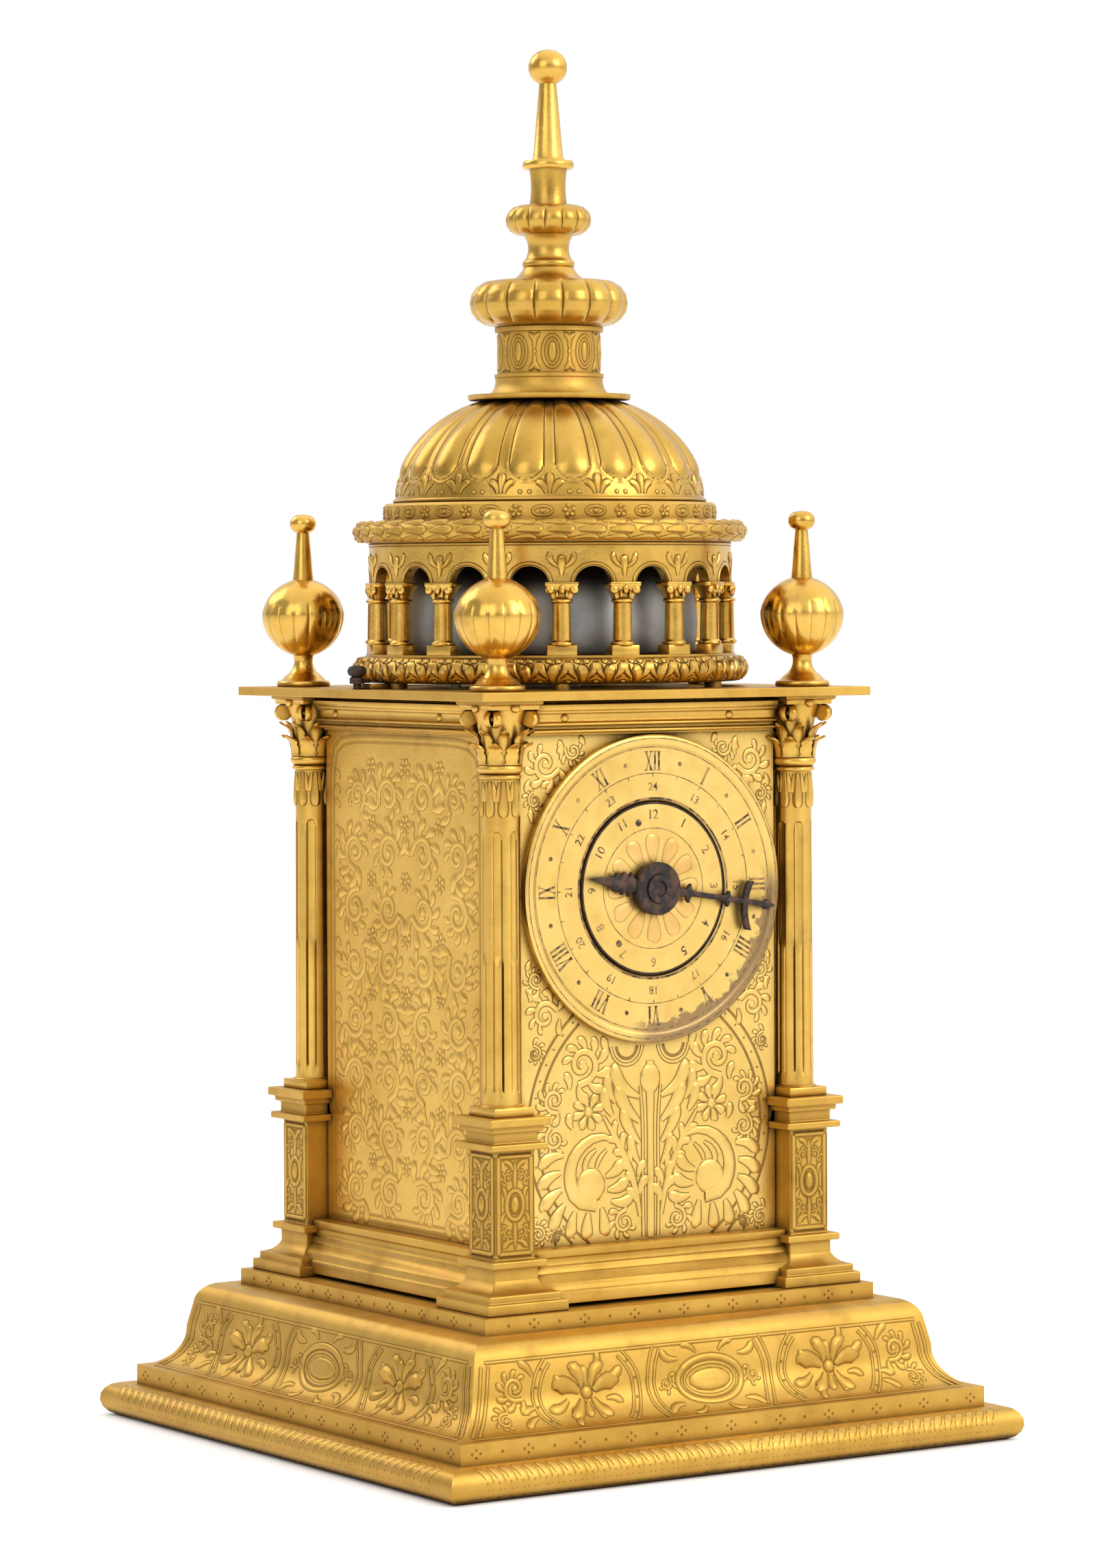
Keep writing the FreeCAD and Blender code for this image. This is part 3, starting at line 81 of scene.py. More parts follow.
class Side(Enum):
    """The four sides of the clock, by the turn that brings the front there."""

    FRONT = 0
    RIGHT = 90
    BACK = 180
    LEFT = 270

    @property
    def turn(self) -> Matrix:
        """The rotation from the front to this side."""
        return turned(radians(self.value))


class Corner(Enum):
    """The four corners of the clock, by their signs along X and Y."""

    FRONT_LEFT = (-1, -1)
    FRONT_RIGHT = (1, -1)
    BACK_LEFT = (-1, 1)
    BACK_RIGHT = (1, 1)

    @property
    def tag(self) -> str:
        """The corner's part of a piece name."""
        return self.name.lower()


def polar(radius: float, angle: float) -> Vector:
    """A point of the sheet by its radius and angle."""
    return Vector((radius * cos(angle), radius * sin(angle)))


def ease(low: float, high: float, value: float) -> float:
    """A smooth step from 0 at low to 1 at high."""
    share = min(1.0, max(0.0, (value - low) / (high - low)))
    return share * share * (3 - 2 * share)


def arc(start: Flat, via: Flat, end: Flat, count: int = 8) -> Outline:
    """Points of the round stretch through three points, without its start.

    Args:
        start: where it starts.
        via: a point on its way.
        end: where it ends.
        count: how many points it gets.

    Returns:
        The points.
    """
    first, middle, last = Vector(start), Vector(via), Vector(end)
    to_middle, to_last = middle - first, last - first
    twist = 2 * (to_middle.x * to_last.y - to_middle.y * to_last.x)
    aside = Vector((to_last.y, -to_last.x)) * to_middle.length_squared
    aside += Vector((-to_middle.y, to_middle.x)) * to_last.length_squared
    centre = first + aside / twist
    begin = atan2(first.y - centre.y, first.x - centre.x)
    half = (atan2(middle.y - centre.y, middle.x - centre.x) - begin) % TURN
    sweep = (atan2(last.y - centre.y, last.x - centre.x) - begin) % TURN
    if half > sweep:
        sweep -= TURN
    radius = (first - centre).length
    return [tuple(centre + polar(radius, begin + sweep * i / count)) for i in range(1, count + 1)]


def profile(*steps: Sequence) -> Outline:
    """An outline from its corners; a pair of points is the middle and the end of a round stretch.

    Args:
        steps: the corners and the pairs, in order.

    Returns:
        The points.
    """
    points = [steps[0]]
    for step in steps[1:]:
        points += arc(points[-1], *step) if isinstance(step[0], tuple) else [step]
    return points


def mirrored(angle: float, hand: int) -> float:
    """An angle in degrees, or its mirror image for the left hand."""
    return angle if hand > 0 else 180 - angle


def handed(hand: int, *points: Flat) -> Outline:
    """Points of a sheet, or their mirror images for the left hand."""
    return [(hand * u, v) for u, v in points]


class Rail:
    """A profile that can be read by the length along it."""

    def __init__(self, outline: Outline) -> None:
        """Keep the profile's points and the length up to each of them.

        Args:
            outline: the profile's points.
        """
        self.points = [Vector(point) for point in outline]
        self.marks = [0.0]
        for before, after in zip(self.points, self.points[1:]):
            self.marks.append(self.marks[-1] + (after - before).length)
        self.length = self.marks[-1]

    def at(self, along: float) -> tuple[Vector, Vector]:
        """The point at a length along the profile, and the outward normal there.

        Args:
            along: the length from its start.

        Returns:
            The point and the normal.
        """
        along = min(max(along, 0.0), self.length)
        index = 1
        while index < len(self.marks) - 1 and self.marks[index] < along:
            index += 1
        before, after = self.points[index - 1], self.points[index]
        run = after - before
        share = (along - self.marks[index - 1]) / max(run.length, 1e-9)
        return before + run * share, Vector((run.y, -run.x)).normalized()

    def on_side(self, side: Side) -> Lay:
        """Lay a sheet on one side of a square moulding with this profile.

        Args:
            side: which side.

        Returns:
            The rule for laying.
        """
        def lay(u: float, v: float, w: float) -> Vector:
            """Where a place of the sheet comes to lie."""
            point, normal = self.at(v)
            return side.turn @ Vector((u, -point.x - normal.x * w, point.y + normal.y * w))
        return lay

    def around(self, radius: float) -> Lay:
        """Lay a sheet round a turned piece with this profile.

        Args:
            radius: where u is a true length.

        Returns:
            The rule for laying.
        """
        def lay(u: float, v: float, w: float) -> Vector:
            """Where a place of the sheet comes to lie."""
            point, normal = self.at(v)
            spoke = polar(point.x + normal.x * w, u / radius)
            return Vector((spoke.x, spoke.y, point.y + normal.y * w))
        return lay


def on_face(distance: float, side: Side) -> Lay:
    """Lay a sheet on an upright face at a distance from the axis.

    Args:
        distance: from the axis to the face.
        side: the side that it is on.

    Returns:
        The rule for laying.
    """
    def lay(u: float, v: float, w: float) -> Vector:
        """Where a place of the sheet comes to lie."""
        return side.turn @ Vector((u, -distance - w, v))
    return lay


class Shape:
    """A mesh in the making, in millimetres."""

    def __init__(self) -> None:
        """Start with nothing."""
        self.bm = bmesh.new()

    def chain(self, points: Iterable[Sequence[float]], closed: bool = False) -> list:
        """Add a row of joined points.

        Args:
            points: the points in order.
            closed: whether the last joins the first.

        Returns:
            The new vertices and edges.
        """
        verts = [self.bm.verts.new(point) for point in points]
        pairs = list(zip(verts, verts[1:])) + ([(verts[-1], verts[0])] if closed else [])
        return verts + [self.bm.edges.new(pair) for pair in pairs]

    def spun(self, row: list, steps: int) -> Shape:
        """Turn a row of points about the upright axis."""
        bmesh.ops.spin(self.bm, geom=row, cent=(0, 0, 0), axis=(0, 0, 1), angle=TURN, steps=steps,
                       use_merge=True)
        return self.clean()

    @classmethod
    def lathe(cls, outline: Outline, steps: int = 96, closed: bool = False) -> Shape:
        """Turn an outline of (radius, height) about the upright axis."""
        shape = cls()
        return shape.spun(shape.chain([(radius, 0, height) for radius, height in outline], closed), steps)

    @classmethod
    def washer(cls, radii: Flat, heights: Flat) -> Shape:
        """A flat ring between two radii and two heights."""
        (inner, outer), (low, high) = radii, heights
        return cls.lathe([(inner, low), (outer, low), (outer, high), (inner, high)], 144, closed=True)

    @classmethod
    def squared(cls, outline: Outline) -> Shape:
        """A square moulding with mitred corners from an outline of (half width, height)."""
        shape = cls()
        return shape.spun(shape.chain([(half, half, height) for half, height in outline]), 4)

    @classmethod
    def box(cls, low: Sequence[float], high: Sequence[float]) -> Shape:
        """A box between two corners.

        Args:
            low: one corner.
            high: the corner opposite.

        Returns:
            The new shape.
        """
        shape = cls()
        low, high = Vector(low), Vector(high)
        place = Matrix.LocRotScale((low + high) / 2, None, high - low)
        bmesh.ops.create_cube(shape.bm, size=1, matrix=place)
        return shape

    @classmethod
    def plate(cls, outline: Sequence[Flat], low: float, high: float) -> Shape:
        """A flat outline in X and Y with a thickness along Z.

        Args:
            outline: its corners in order.
            low: where it starts.
            high: where it ends.

        Returns:
            The new shape.
        """
        shape = cls()
        shape.chain([(x, y, low) for x, y in outline], closed=True)
        bmesh.ops.contextual_create(shape.bm, geom=shape.bm.edges[:])
        return shape.thicken(high - low)

    @classmethod
    def ball(cls, place: Spot, radii: Sequence[float], rounds: int = 2) -> Shape:
        """A ball or an egg at a place.

        Args:
            place: its middle.
            radii: its radii along X, Y and Z.
            rounds: how finely it is divided.

        Returns:
            The new shape.
        """
        shape = cls()
        matrix = Matrix.LocRotScale(Vector(place), None, Vector(radii))
        bmesh.ops.create_icosphere(shape.bm, subdivisions=rounds, radius=1, matrix=matrix)
        return shape

    @classmethod
    def drawn(cls, curve: bpy.types.Curve) -> Shape:
        """What a curve draws; the curve itself is used up.

        Args:
            curve: a path with a bevel, or text.

        Returns:
            The new shape.
        """
        holder = linked("pen", curve)
        view = bpy.context.evaluated_depsgraph_get()
        view.update()
        data = bpy.data.meshes.new_from_object(holder.evaluated_get(view))
        bpy.data.objects.remove(holder)
        bpy.data.curves.remove(curve)
        shape = cls()
        shape.bm.from_mesh(data)
        bpy.data.meshes.remove(data)
        return shape

    def thicken(self, rise: float) -> Shape:
        """Give a flat sheet a thickness along Z.

        Args:
            rise: the thickness, below 0 for downwards.

        Returns:
            The same shape.
        """
        raised = bmesh.ops.extrude_face_region(self.bm, geom=self.bm.faces[:])
        tops = [item for item in raised["geom"] if isinstance(item, bmesh.types.BMVert)]
        bmesh.ops.translate(self.bm, verts=tops, vec=(0, 0, rise))
        return self.clean()

    def clean(self) -> Shape:
        """Close the seams and turn the faces outwards.

        Returns:
            The same shape.
        """
        bmesh.ops.remove_doubles(self.bm, verts=self.bm.verts[:], dist=MERGE)
        bmesh.ops.dissolve_degenerate(self.bm, edges=self.bm.edges[:], dist=MERGE)
        bmesh.ops.recalc_face_normals(self.bm, faces=self.bm.faces[:])
        return self

    def soften(self, width: float, segments: int = 2) -> Shape:
        """Round the sharp edges.

        Args:
            width: how far the rounding reaches.
            segments: its steps.

        Returns:
            The same shape.
        """
        edges = [e for e in self.bm.edges if len(e.link_faces) == 2 and e.calc_face_angle() > CREASE]
        bmesh.ops.bevel(self.bm, geom=edges, offset=width, offset_type="OFFSET", segments=segments,
                        profile=0.5, affect="EDGES", clamp_overlap=True, material=-1)
        return self

    def shift(self, move: Callable[[Vector], Vector]) -> Shape:
        """Move each vertex by a rule."""
        for vert in self.bm.verts:
            vert.co = move(vert.co)
        return self

    def press(self, rule: Callable[[Vector], tuple[Vector, float]]) -> Shape:
        """Move each vertex by a rule that also says how dark it is there.

        Args:
            rule: gives a vertex's new place and its darkness.

        Returns:
            The same shape.
        """
        groove = self.bm.verts.layers.float.new(GROOVE)
        for vert in self.bm.verts:
            vert.co, vert[groove] = rule(vert.co)
        return self

    def placed(self, matrix: Matrix) -> Shape:
        """Move and turn the whole shape."""
        bmesh.ops.transform(self.bm, matrix=matrix, verts=self.bm.verts[:])
        return self

    def at(self, x: float, y: float, z: float) -> Shape:
        """Move the whole shape to a place."""
        return self.placed(Matrix.Translation((x, y, z)))

    def laid(self, lay: Lay) -> Shape:
        """Lay the sheet's (u, v, w) on a surface."""
        self.shift(lambda point: lay(point.x, point.y, point.z))
        bmesh.ops.recalc_face_normals(self.bm, faces=self.bm.faces[:])
        return self

    def mesh(self, name: str) -> bpy.types.Mesh:
        """The shape as mesh data."""
        data = bpy.data.meshes.new(name)
        self.bm.to_mesh(data)
        return data

    def add(self, other: Shape, matrix: Matrix = Matrix.Identity(4)) -> Shape:
        """Take in a copy of another shape, moved by a matrix.

        Args:
            other: what is taken in.
            matrix: where the copy goes.

        Returns:
            The same shape.
        """
        data = other.mesh("part")
        data.transform(matrix)
        self.bm.from_mesh(data)
        bpy.data.meshes.remove(data)
        return self

    def copy(self, matrix: Matrix = Matrix.Identity(4)) -> Shape:
        """A copy of the shape, moved by a matrix."""
        return Shape().add(self, matrix)

    def piece(self, name: str, finish: Finish, body: str = "case", slot: str = "gilt",
              replaces: Sequence[str] = ()) -> bpy.types.Object:
        """Make the shape a piece of the clock.

        Args:
            name: the piece's name.
            finish: what it is finished in.
            body: the CAD body that it moves with.
            slot: the record's material slot; not used.
            replaces: the CAD nodes that it stands for.

        Returns:
            The new object.
        """
        data = self.mesh(name)
        data.transform(Matrix.Scale(MM, 4))
        data.shade_smooth()
        data.set_sharp_from_angle(angle=SHARP)
        data.materials.append(finish.material())
        item = linked(name, data)
        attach(item, body)
        if replaces:
            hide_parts(*replaces)
        self.bm.free()
        LOG.info("%s: %d faces on %s", name, len(data.polygons), body)
        return item

    def stand_in(self, name: str, finish: Finish, body: str = "case", slot: str = "gilt") -> bpy.types.Object:
        """Make the shape a piece that takes the place of the CAD node with its name."""
        return self.piece(name, finish, body, slot, (name,))


LEAF = ((0.0, 0.0, 0.45), (0.3, 1.0, 1.25), (0.74, 1.1, 0.9), (1.0, 0.0, 0.02))
LOBE = ((0.0, 0.0, 0.35), (0.34, 1.0, 0.85), (0.76, 1.2, 1.3), (0.98, 0.3, 0.95), (1.0, 0.0, 0.3))
LINE_HIGH = 0.06
LINE_RIM = 0.035
LINE_LOW = -0.05


class Chasing:
    """Raised ornament drawn on a flat sheet, each form with a dark line round it, in millimetres."""

    def __init__(self, relief: float = 0.4, edge: float = 0.2) -> None:
        """Start an empty sheet.

        Args:
            relief: the height of a form as a share of its half width.
            edge: how far the dark line shows beside a form.
        """
        self.relief = relief
        self.edge = edge
        self.forms = self.pen(1)
        self.lines = self.pen(0)
        self.bosses = Shape()
        self.seats = Shape()

    def pen(self, rounds: int) -> bpy.types.Curve:
        """An empty curve that draws tubes.

        Args:
            rounds: how round the tubes are.

        Returns:
            The curve.
        """
        curve = bpy.data.curves.new("pen", "CURVE")
        curve.dimensions = "3D"
        curve.bevel_depth = 1.0
        curve.bevel_resolution = rounds
        return curve

    def trace(self, curve: bpy.types.Curve, points: Points, widths: Sequence[float],
              closed: bool = False) -> None:
        """Draw one smooth stroke with a pen.

        Args:
            curve: the pen.
            points: the control points.
            widths: the half width at each of them.
            closed: whether the stroke closes on itself.
        """
        spline = curve.splines.new("NURBS")
        spline.points.add(len(points) - 1)
        for knot, point, width in zip(spline.points, points, widths):
            knot.co = (point[0], point[1], 0, 1)
            knot.radius = width
        spline.order_u = min(4, len(points))
        spline.resolution_u = 2 if len(points) < 14 else 3
        spline.use_endpoint_u = not closed
        spline.use_cyclic_u = closed

    def stroke(self, points: Points, widths: Sequence[float], closed: bool = False) -> Chasing:
        """Draw a smooth raised stroke and the line round it.

        Args:
            points: its control points.
            widths: its half width at each of them.
            closed: whether it closes on itself.

        Returns:
            The same sheet.
        """
        self.trace(self.forms, points, widths, closed)
        self.trace(self.lines, points, [width + self.edge for width in widths], closed)
        return self

    def line(self, points: Points, width: float, closed: bool = False) -> Chasing:
        """Draw a smooth raised stroke of one width."""
        return self.stroke(points, [width] * len(points), closed)

    def bar(self, start: Flat, end: Flat, width: float, knots: int = 2) -> Chasing:
        """Draw a straight stroke of one width."""
        return self.line([Vector(start).lerp(Vector(end), i / (knots - 1)) for i in range(knots)], width)

    def oval(self, centre: Flat, wide: float, high: float, width: float, knots: int = 12) -> Chasing:
        """Draw a closed oval line.

        Args:
            centre: its middle.
            wide: its half width.
            high: its half height.
            width: the line's half width.
            knots: its control points.

        Returns:
            The same sheet.
        """
        ring = [(centre[0] + wide * cos(TURN * i / knots), centre[1] + high * sin(TURN * i / knots))
                for i in range(knots)]
        return self.line(ring, width, closed=True)

    def bow(self, centre: Flat, radius: float, start: float, end: float, width: float, knots: int = 12,
            squash: float = 1.0) -> Chasing:
        """Draw a part of a circle, or of an oval.

        Args:
            centre: its middle.
            radius: its radius.
            start: the angle in degrees where it starts.
            end: the angle in degrees where it ends.
            width: the line's half width.
            knots: its control points.
            squash: its height as a share of a circle's.

        Returns:
            The same sheet.
        """
        first, last = radians(start), radians(end)
        spokes = [polar(radius, first + (last - first) * i / (knots - 1)) for i in range(knots)]
        return self.line([Vector(centre) + Vector((spoke.x, spoke.y * squash)) for spoke in spokes], width)

    def blade(self, base: Spot, tip: Spot, bend: float, width: float, plan: Points) -> Chasing:
        """Draw a leaf.

        Args:
            base: where it grows from.
            tip: where it ends.
            bend: how far its middle leaves the straight line, as a share of its length.
            width: its half width.
            plan: shares of its length, of its bend and of its width, at each control point.

        Returns:
            The same sheet.
        """
        base, tip = Vector(base[:2]), Vector(tip[:2])
        run = tip - base
        aside = Vector((-run.y, run.x)) * bend
        points = [base + run * along + aside * out for along, out, _ in plan]
        return self.stroke(points, [width * share for _, _, share in plan])

    def leaf(self, base: Spot, tip: Spot, bend: float, width: float) -> Chasing:
        """Draw a pointed leaf."""
        return self.blade(base, tip, bend, width, LEAF)

    def lobe(self, base: Spot, tip: Spot, bend: float, width: float) -> Chasing:
        """Draw a round-ended leaf that swells towards its tip."""
        return self.blade(base, tip, bend, width, LOBE)

    def boss(self, centre: Spot, wide: float, high: float = 0.0, rounds: int = 2,
             rise: float = 0.0) -> Chasing:
        """Set a round or oval boss.

        Args:
            centre: its middle.
            wide: its half width.
            high: its half height, or 0 for a round one.
            rounds: how finely it is divided.
            rise: its height, or 0 for the share that the relief gives.

        Returns:
            The same sheet.
        """
        tall = rise / self.relief if rise else wide
        high = high or wide
        self.bosses.add(Shape.ball((centre[0], centre[1], 0), (wide, high, tall), rounds))
        seat = (wide + self.edge, high + self.edge, 1)
        self.seats.add(Shape.ball((centre[0], centre[1], 0), seat, min(rounds, 2)))
        return self

    def dot(self, centre: Spot, size: float) -> Chasing:
        """Punch a dark dot in the ground."""
        self.seats.add(Shape.ball((centre[0], centre[1], 0), (size, size, 1), 1))
        return self

    def scroll(self, centre: Spot, radius: float, start: float, hand: int, turns: float = 1.3,
               leaves: int = 7) -> Chasing:
        """Draw an acanthus scroll that winds in to a bud.

        Args:
            centre: its eye.
            radius: its outer radius, over the leaves.
            start: the angle in degrees where its stem comes in.
            hand: 1 to wind anticlockwise, -1 clockwise.
            turns: how often it winds round.
            leaves: the lobes on its outside.

        Returns:
            The same sheet.
        """
        centre = Vector(centre[:2])
        first = radians(start)

        def along(share: float) -> tuple[Vector, float]:
            """A place of the stem, and the angle there."""
            angle = first + hand * share * turns * TURN
            return centre + polar(radius * (0.72 - 0.54 * share), angle), angle

        knots = 12
        stem = [along(i / (knots - 1))[0] for i in range(knots)]
        self.stroke(stem, [radius * (0.13 - 0.05 * i / knots) for i in range(knots)])
        self.boss(centre, radius * 0.18, rounds=1)
        for i in range(leaves):
            base, angle = along(0.64 * i / leaves)
            size = radius * (0.66 - 0.26 * i / leaves)
            self.lobe(base, base + polar(size, angle + hand * 1.0), -hand * 0.22, size * 0.27)
        return self

    def spray(self, points: Sequence[Flat], widths: Sequence[float], lobes: int, size: float) -> Chasing:
        """Draw a branch with lobes along both of its sides.

        Args:
            points: its control points, from the root.
            widths: its half width at each of them.
            lobes: the lobes on each side.
            size: the length of the lowest lobe.

        Returns:
            The same sheet.
        """
        self.stroke(points, widths)
        rail = Rail(points)
        for i in range(lobes):
            for hand in HANDS:
                spot, aside = rail.at(rail.length * (0.16 + 0.74 * (i + 0.25 * hand) / lobes))
                ahead = Vector((-aside.y, aside.x))
                reach = size * (1 - 0.35 * i / lobes)
                way = (aside * hand * 0.8 + ahead * 0.75).normalized()
                self.lobe(spot + aside * hand * widths[0], spot + way * reach, hand * 0.2, reach * 0.24)
        return self

    def flower(self, centre: Spot, radius: float, petals: int, phase: float = 0.0) -> Chasing:
        """Draw a rosette of petals round a boss.

        Args:
            centre: its middle.
            radius: its outer radius.
            petals: how many.
            phase: the first petal's angle.

        Returns:
            The same sheet.
        """
        centre = Vector(centre[:2])
        for i in range(petals):
            angle = phase + TURN * i / petals
            self.lobe(centre + polar(radius * 0.3, angle), centre + polar(radius, angle), 0.06,
                      radius * 1.75 / petals)
        return self.boss(centre, radius * 0.27, rounds=1)

    def solid(self, curve: bpy.types.Curve) -> Shape:
        """What a pen has drawn, as a closed shape."""
        made = Shape.drawn(curve)
        bmesh.ops.holes_fill(made.bm, edges=made.bm.edges[:], sides=8)
        return made.clean()

    def shape(self) -> Shape:
        """The finished relief, flat below, with its dark lines marked in the attribute groove.

        Returns:
            The relief.
        """
        forms = self.solid(self.forms).add(self.bosses)
        forms.bm.normal_update()
        groove = forms.bm.verts.layers.float.new(GROOVE)
        for vert in forms.bm.verts:
            vert[groove] = 0.8 * (1 - min(1.0, max(0.0, vert.normal.z)))
            vert.co.z *= self.relief if vert.co.z > 0 else 0.02
        lines = self.solid(self.lines).add(self.seats)
        groove = lines.bm.verts.layers.float.new(GROOVE)
        for vert in lines.bm.verts:
            vert[groove] = 1.0
            level = vert.co.z
            vert.co.z = LINE_HIGH if level > 0.05 else LINE_LOW if level < -0.05 else LINE_RIM
        return forms.add(lines)


class Wire:
    """A value in a shader. Arithmetic on it adds Math nodes."""

    def __init__(self, graph: Graph, socket: bpy.types.NodeSocket) -> None:
        """Wrap one output socket."""
        self.graph = graph
        self.socket = socket

    def __add__(self, other: Value) -> Wire:
        """Sum of two values."""
        return self.graph.math("ADD", self, other)

    def __sub__(self, other: Value) -> Wire:
        """Difference of two values."""
        return self.graph.math("SUBTRACT", self, other)

    def __rsub__(self, other: Value) -> Wire:
        """Difference, with the wire taken away."""
        return self.graph.math("SUBTRACT", other, self)

    def __mul__(self, other: Value) -> Wire:
        """Product of two values."""
        return self.graph.math("MULTIPLY", self, other)

    def __truediv__(self, other: Value) -> Wire:
        """Quotient of two values."""
        return self.graph.math("DIVIDE", self, other)

    def __pow__(self, other: Value) -> Wire:
        """Power of a value."""
        return self.graph.math("POWER", self, other)

    __radd__ = __add__
    __rmul__ = __mul__

    def step(self, low: float, high: float) -> Wire:
        """A smooth step from 0 at low to 1 at high."""
        return self.graph.wire("ShaderNodeMapRange", "Result", {"interpolation_type": "SMOOTHSTEP"},
                               {"Value": self, "From Min": low, "From Max": high})


Value = Union[Wire, float]
Colour = tuple[float, float, float]


class Graph:
    """The node tree of one material."""

    def __init__(self, name: str) -> None:
        """Start a material with an empty tree.

        Args:
            name: the material's name.
        """
        self.material = bpy.data.materials.new(name)
        self.material.use_nodes = True
        self.tree = self.material.node_tree
        self.tree.nodes.clear()

    def node(self, kind: str, settings: dict | None = None, inputs: dict | None = None) -> bpy.types.Node:
        """Add any node.

        Args:
            kind: the node's type.
            settings: its properties, which are set first.
            inputs: the values or wires of its sockets, by name or index.

        Returns:
            The new node.
        """
        node = self.tree.nodes.new(kind)
        for name, value in (settings or {}).items():
            setattr(node, name, value)
        for name, value in (inputs or {}).items():
            socket = node.inputs[name]
            if isinstance(value, Wire):
                self.tree.links.new(value.socket, socket)
            elif isinstance(value, tuple) and len(value) == 3 and socket.type == "RGBA":
                socket.default_value = (*value, 1.0)
            else:
                socket.default_value = value
        return node

    def wire(self, kind: str, output: int | str = 0, settings: dict | None = None,
             inputs: dict | None = None) -> Wire:
        """Add any node and take one of its outputs."""
        return Wire(self, self.node(kind, settings, inputs).outputs[output])

    def math(self, operation: str, first: Value, second: Value) -> Wire:
        """Add a Math node."""
        return self.wire("ShaderNodeMath", 0, {"operation": operation}, {0: first, 1: second})

    def clamp(self, value: Wire) -> Wire:
        """Hold a value between 0 and 1."""
        return self.wire("ShaderNodeClamp", inputs={"Value": value})

    def mix(self, factor: Value, first: Wire | Colour, second: Wire | Colour) -> Wire:
        """Blend two colours."""
        return self.wire("ShaderNodeMix", 2, {"data_type": "RGBA"}, {0: factor, 6: first, 7: second})

    def place(self, stretch: Sequence[float] = (1, 1, 1)) -> Wire:
        """Object coordinates, stretched."""
        source = self.wire("ShaderNodeTexCoord", "Object")
        return self.wire("ShaderNodeMapping", "Vector", inputs={"Vector": source, "Scale": tuple(stretch)})

    def parts(self) -> list[Wire]:
        """Object coordinates along X, Y and Z, in millimetres."""
        node = self.node("ShaderNodeSeparateXYZ", inputs={0: self.place((1 / MM, 1 / MM, 1 / MM))})
        return [Wire(self, output) for output in node.outputs]

    def noise(self, grain: float, detail: float = 4.0, stretch: Sequence[float] = (1, 1, 1)) -> Wire:
        """Noise with a grain in millimetres."""
        return self.wire("ShaderNodeTexNoise", inputs={
            "Vector": self.place(stretch), "Scale": 1 / (grain * MM), "Detail": detail, "Roughness": 0.58})

    def punched(self, grain: float) -> Wire:
        """The distance from the middle of the nearest punch mark, for a matted ground."""
        return self.wire("ShaderNodeTexVoronoi", "Distance",
                         inputs={"Vector": self.place(), "Scale": 1 / (grain * MM)})

    def openness(self, reach: float) -> Wire:
        """How open a place is: 1 on a free face, less in a corner within a reach in millimetres."""
        return self.wire("ShaderNodeAmbientOcclusion", "AO", {"samples": 6}, {"Distance": reach * MM})

    def groove(self) -> Wire:
        """The attribute that marks the outlines of chased work."""
        return self.wire("ShaderNodeAttribute", "Fac", {"attribute_name": GROOVE})

    def surface(self, colour: Wire, roughness: Wire, height: Wire, depth: float, metallic: float,
                strength: float = 1.0) -> bpy.types.Material:
        """Finish the material.

        Args:
            colour: its base colour.
            roughness: its roughness.
            height: what its bump follows.
            depth: the bump's depth in millimetres.
            metallic: its metallic value.
            strength: the bump's strength.

        Returns:
            The material.
        """
        bump = self.wire("ShaderNodeBump",
                         inputs={"Height": height, "Distance": depth * MM, "Strength": strength})
        shader = self.wire("ShaderNodeBsdfPrincipled", inputs={
            "Base Color": colour, "Roughness": roughness, "Metallic": metallic, "Normal": bump})
        self.node("ShaderNodeOutputMaterial", inputs={"Surface": shader})
        return self.material


@dataclass(frozen=True)
class Finish:
    """What a piece is finished in."""

    name: str

    def material(self) -> bpy.types.Material:
        """The finish's material, made once."""
        return bpy.data.materials.get(self.name) or self.mixed(Graph(self.name))

    def mixed(self, graph: Graph) -> bpy.types.Material:
        """Build the material's nodes."""
        raise NotImplementedError


@dataclass(frozen=True)
class Gilt(Finish):
    """Fire-gilt brass: worn, a little blotched, dark along chased lines, and dark in corners and between
    parts with dirt and painted shade.
    """

    bright: Colour = (0.79, 0.50, 0.118)
    deep: Colour = (0.58, 0.33, 0.058)
    blush: Colour = (0.62, 0.30, 0.09)
    # The dark colour of dirt and chased lines, also used for the painted shade in corners.
    patina: Colour = (0.085, 0.038, 0.009)
    crevice: float = 1.0
    reach: float = 2.2
    outline: float = 0.85
    matting: float = 0.0
    polish: float = 0.40
    grime: float = 0.42

    def mixed(self, graph: Graph) -> bpy.types.Material:
        """Blend the gold's tones, then the dirt and painted shade in corners, and the dark lines in grooves.

        Args:
            graph: the tree to build in.

        Returns:
            The material.
        """
        broad = graph.noise(22.0)
        middle = graph.noise(4.5)
        fine = graph.noise(0.75, 3.0)
        punch = graph.punched(0.62)
        tone = graph.clamp((broad * 0.6 + middle * 0.4 - 0.32) * 2.6)
        gold = graph.mix(tone, self.deep, self.bright)
        gold = graph.mix(graph.noise(9.0).step(0.58, 0.74) * 0.45, gold, self.blush)
        # Painted shade: ambient occlusion darkens corners and places between parts within reach, mottled like
        # dirt; crevice sets its strength.
        hidden = (1 - graph.openness(self.reach)) ** 1.35 * (0.75 + 0.9 * fine) * self.crevice
        line = graph.groove().step(0.5, 0.98) * self.outline
        pits = punch.step(0.30, 0.05) * self.matting
        stain = graph.noise(13.0, 6.0).step(0.56, 0.76) * self.grime * middle
        # The dark share: painted shade in corners together with chased lines, punch marks and stains.
        dirt_and_shade = graph.clamp(hidden + line + pits + stain)
        colour = graph.mix(dirt_and_shade, gold, self.patina)
        rough = graph.clamp(self.polish + (middle - 0.5) * 0.22 + dirt_and_shade * 0.34)
        height = middle * 0.55 + fine * 0.30 + punch.step(0.0, 0.42) * (self.matting * 1.6)
        return graph.surface(colour, rough, height, 0.16, 1.0, 0.7)


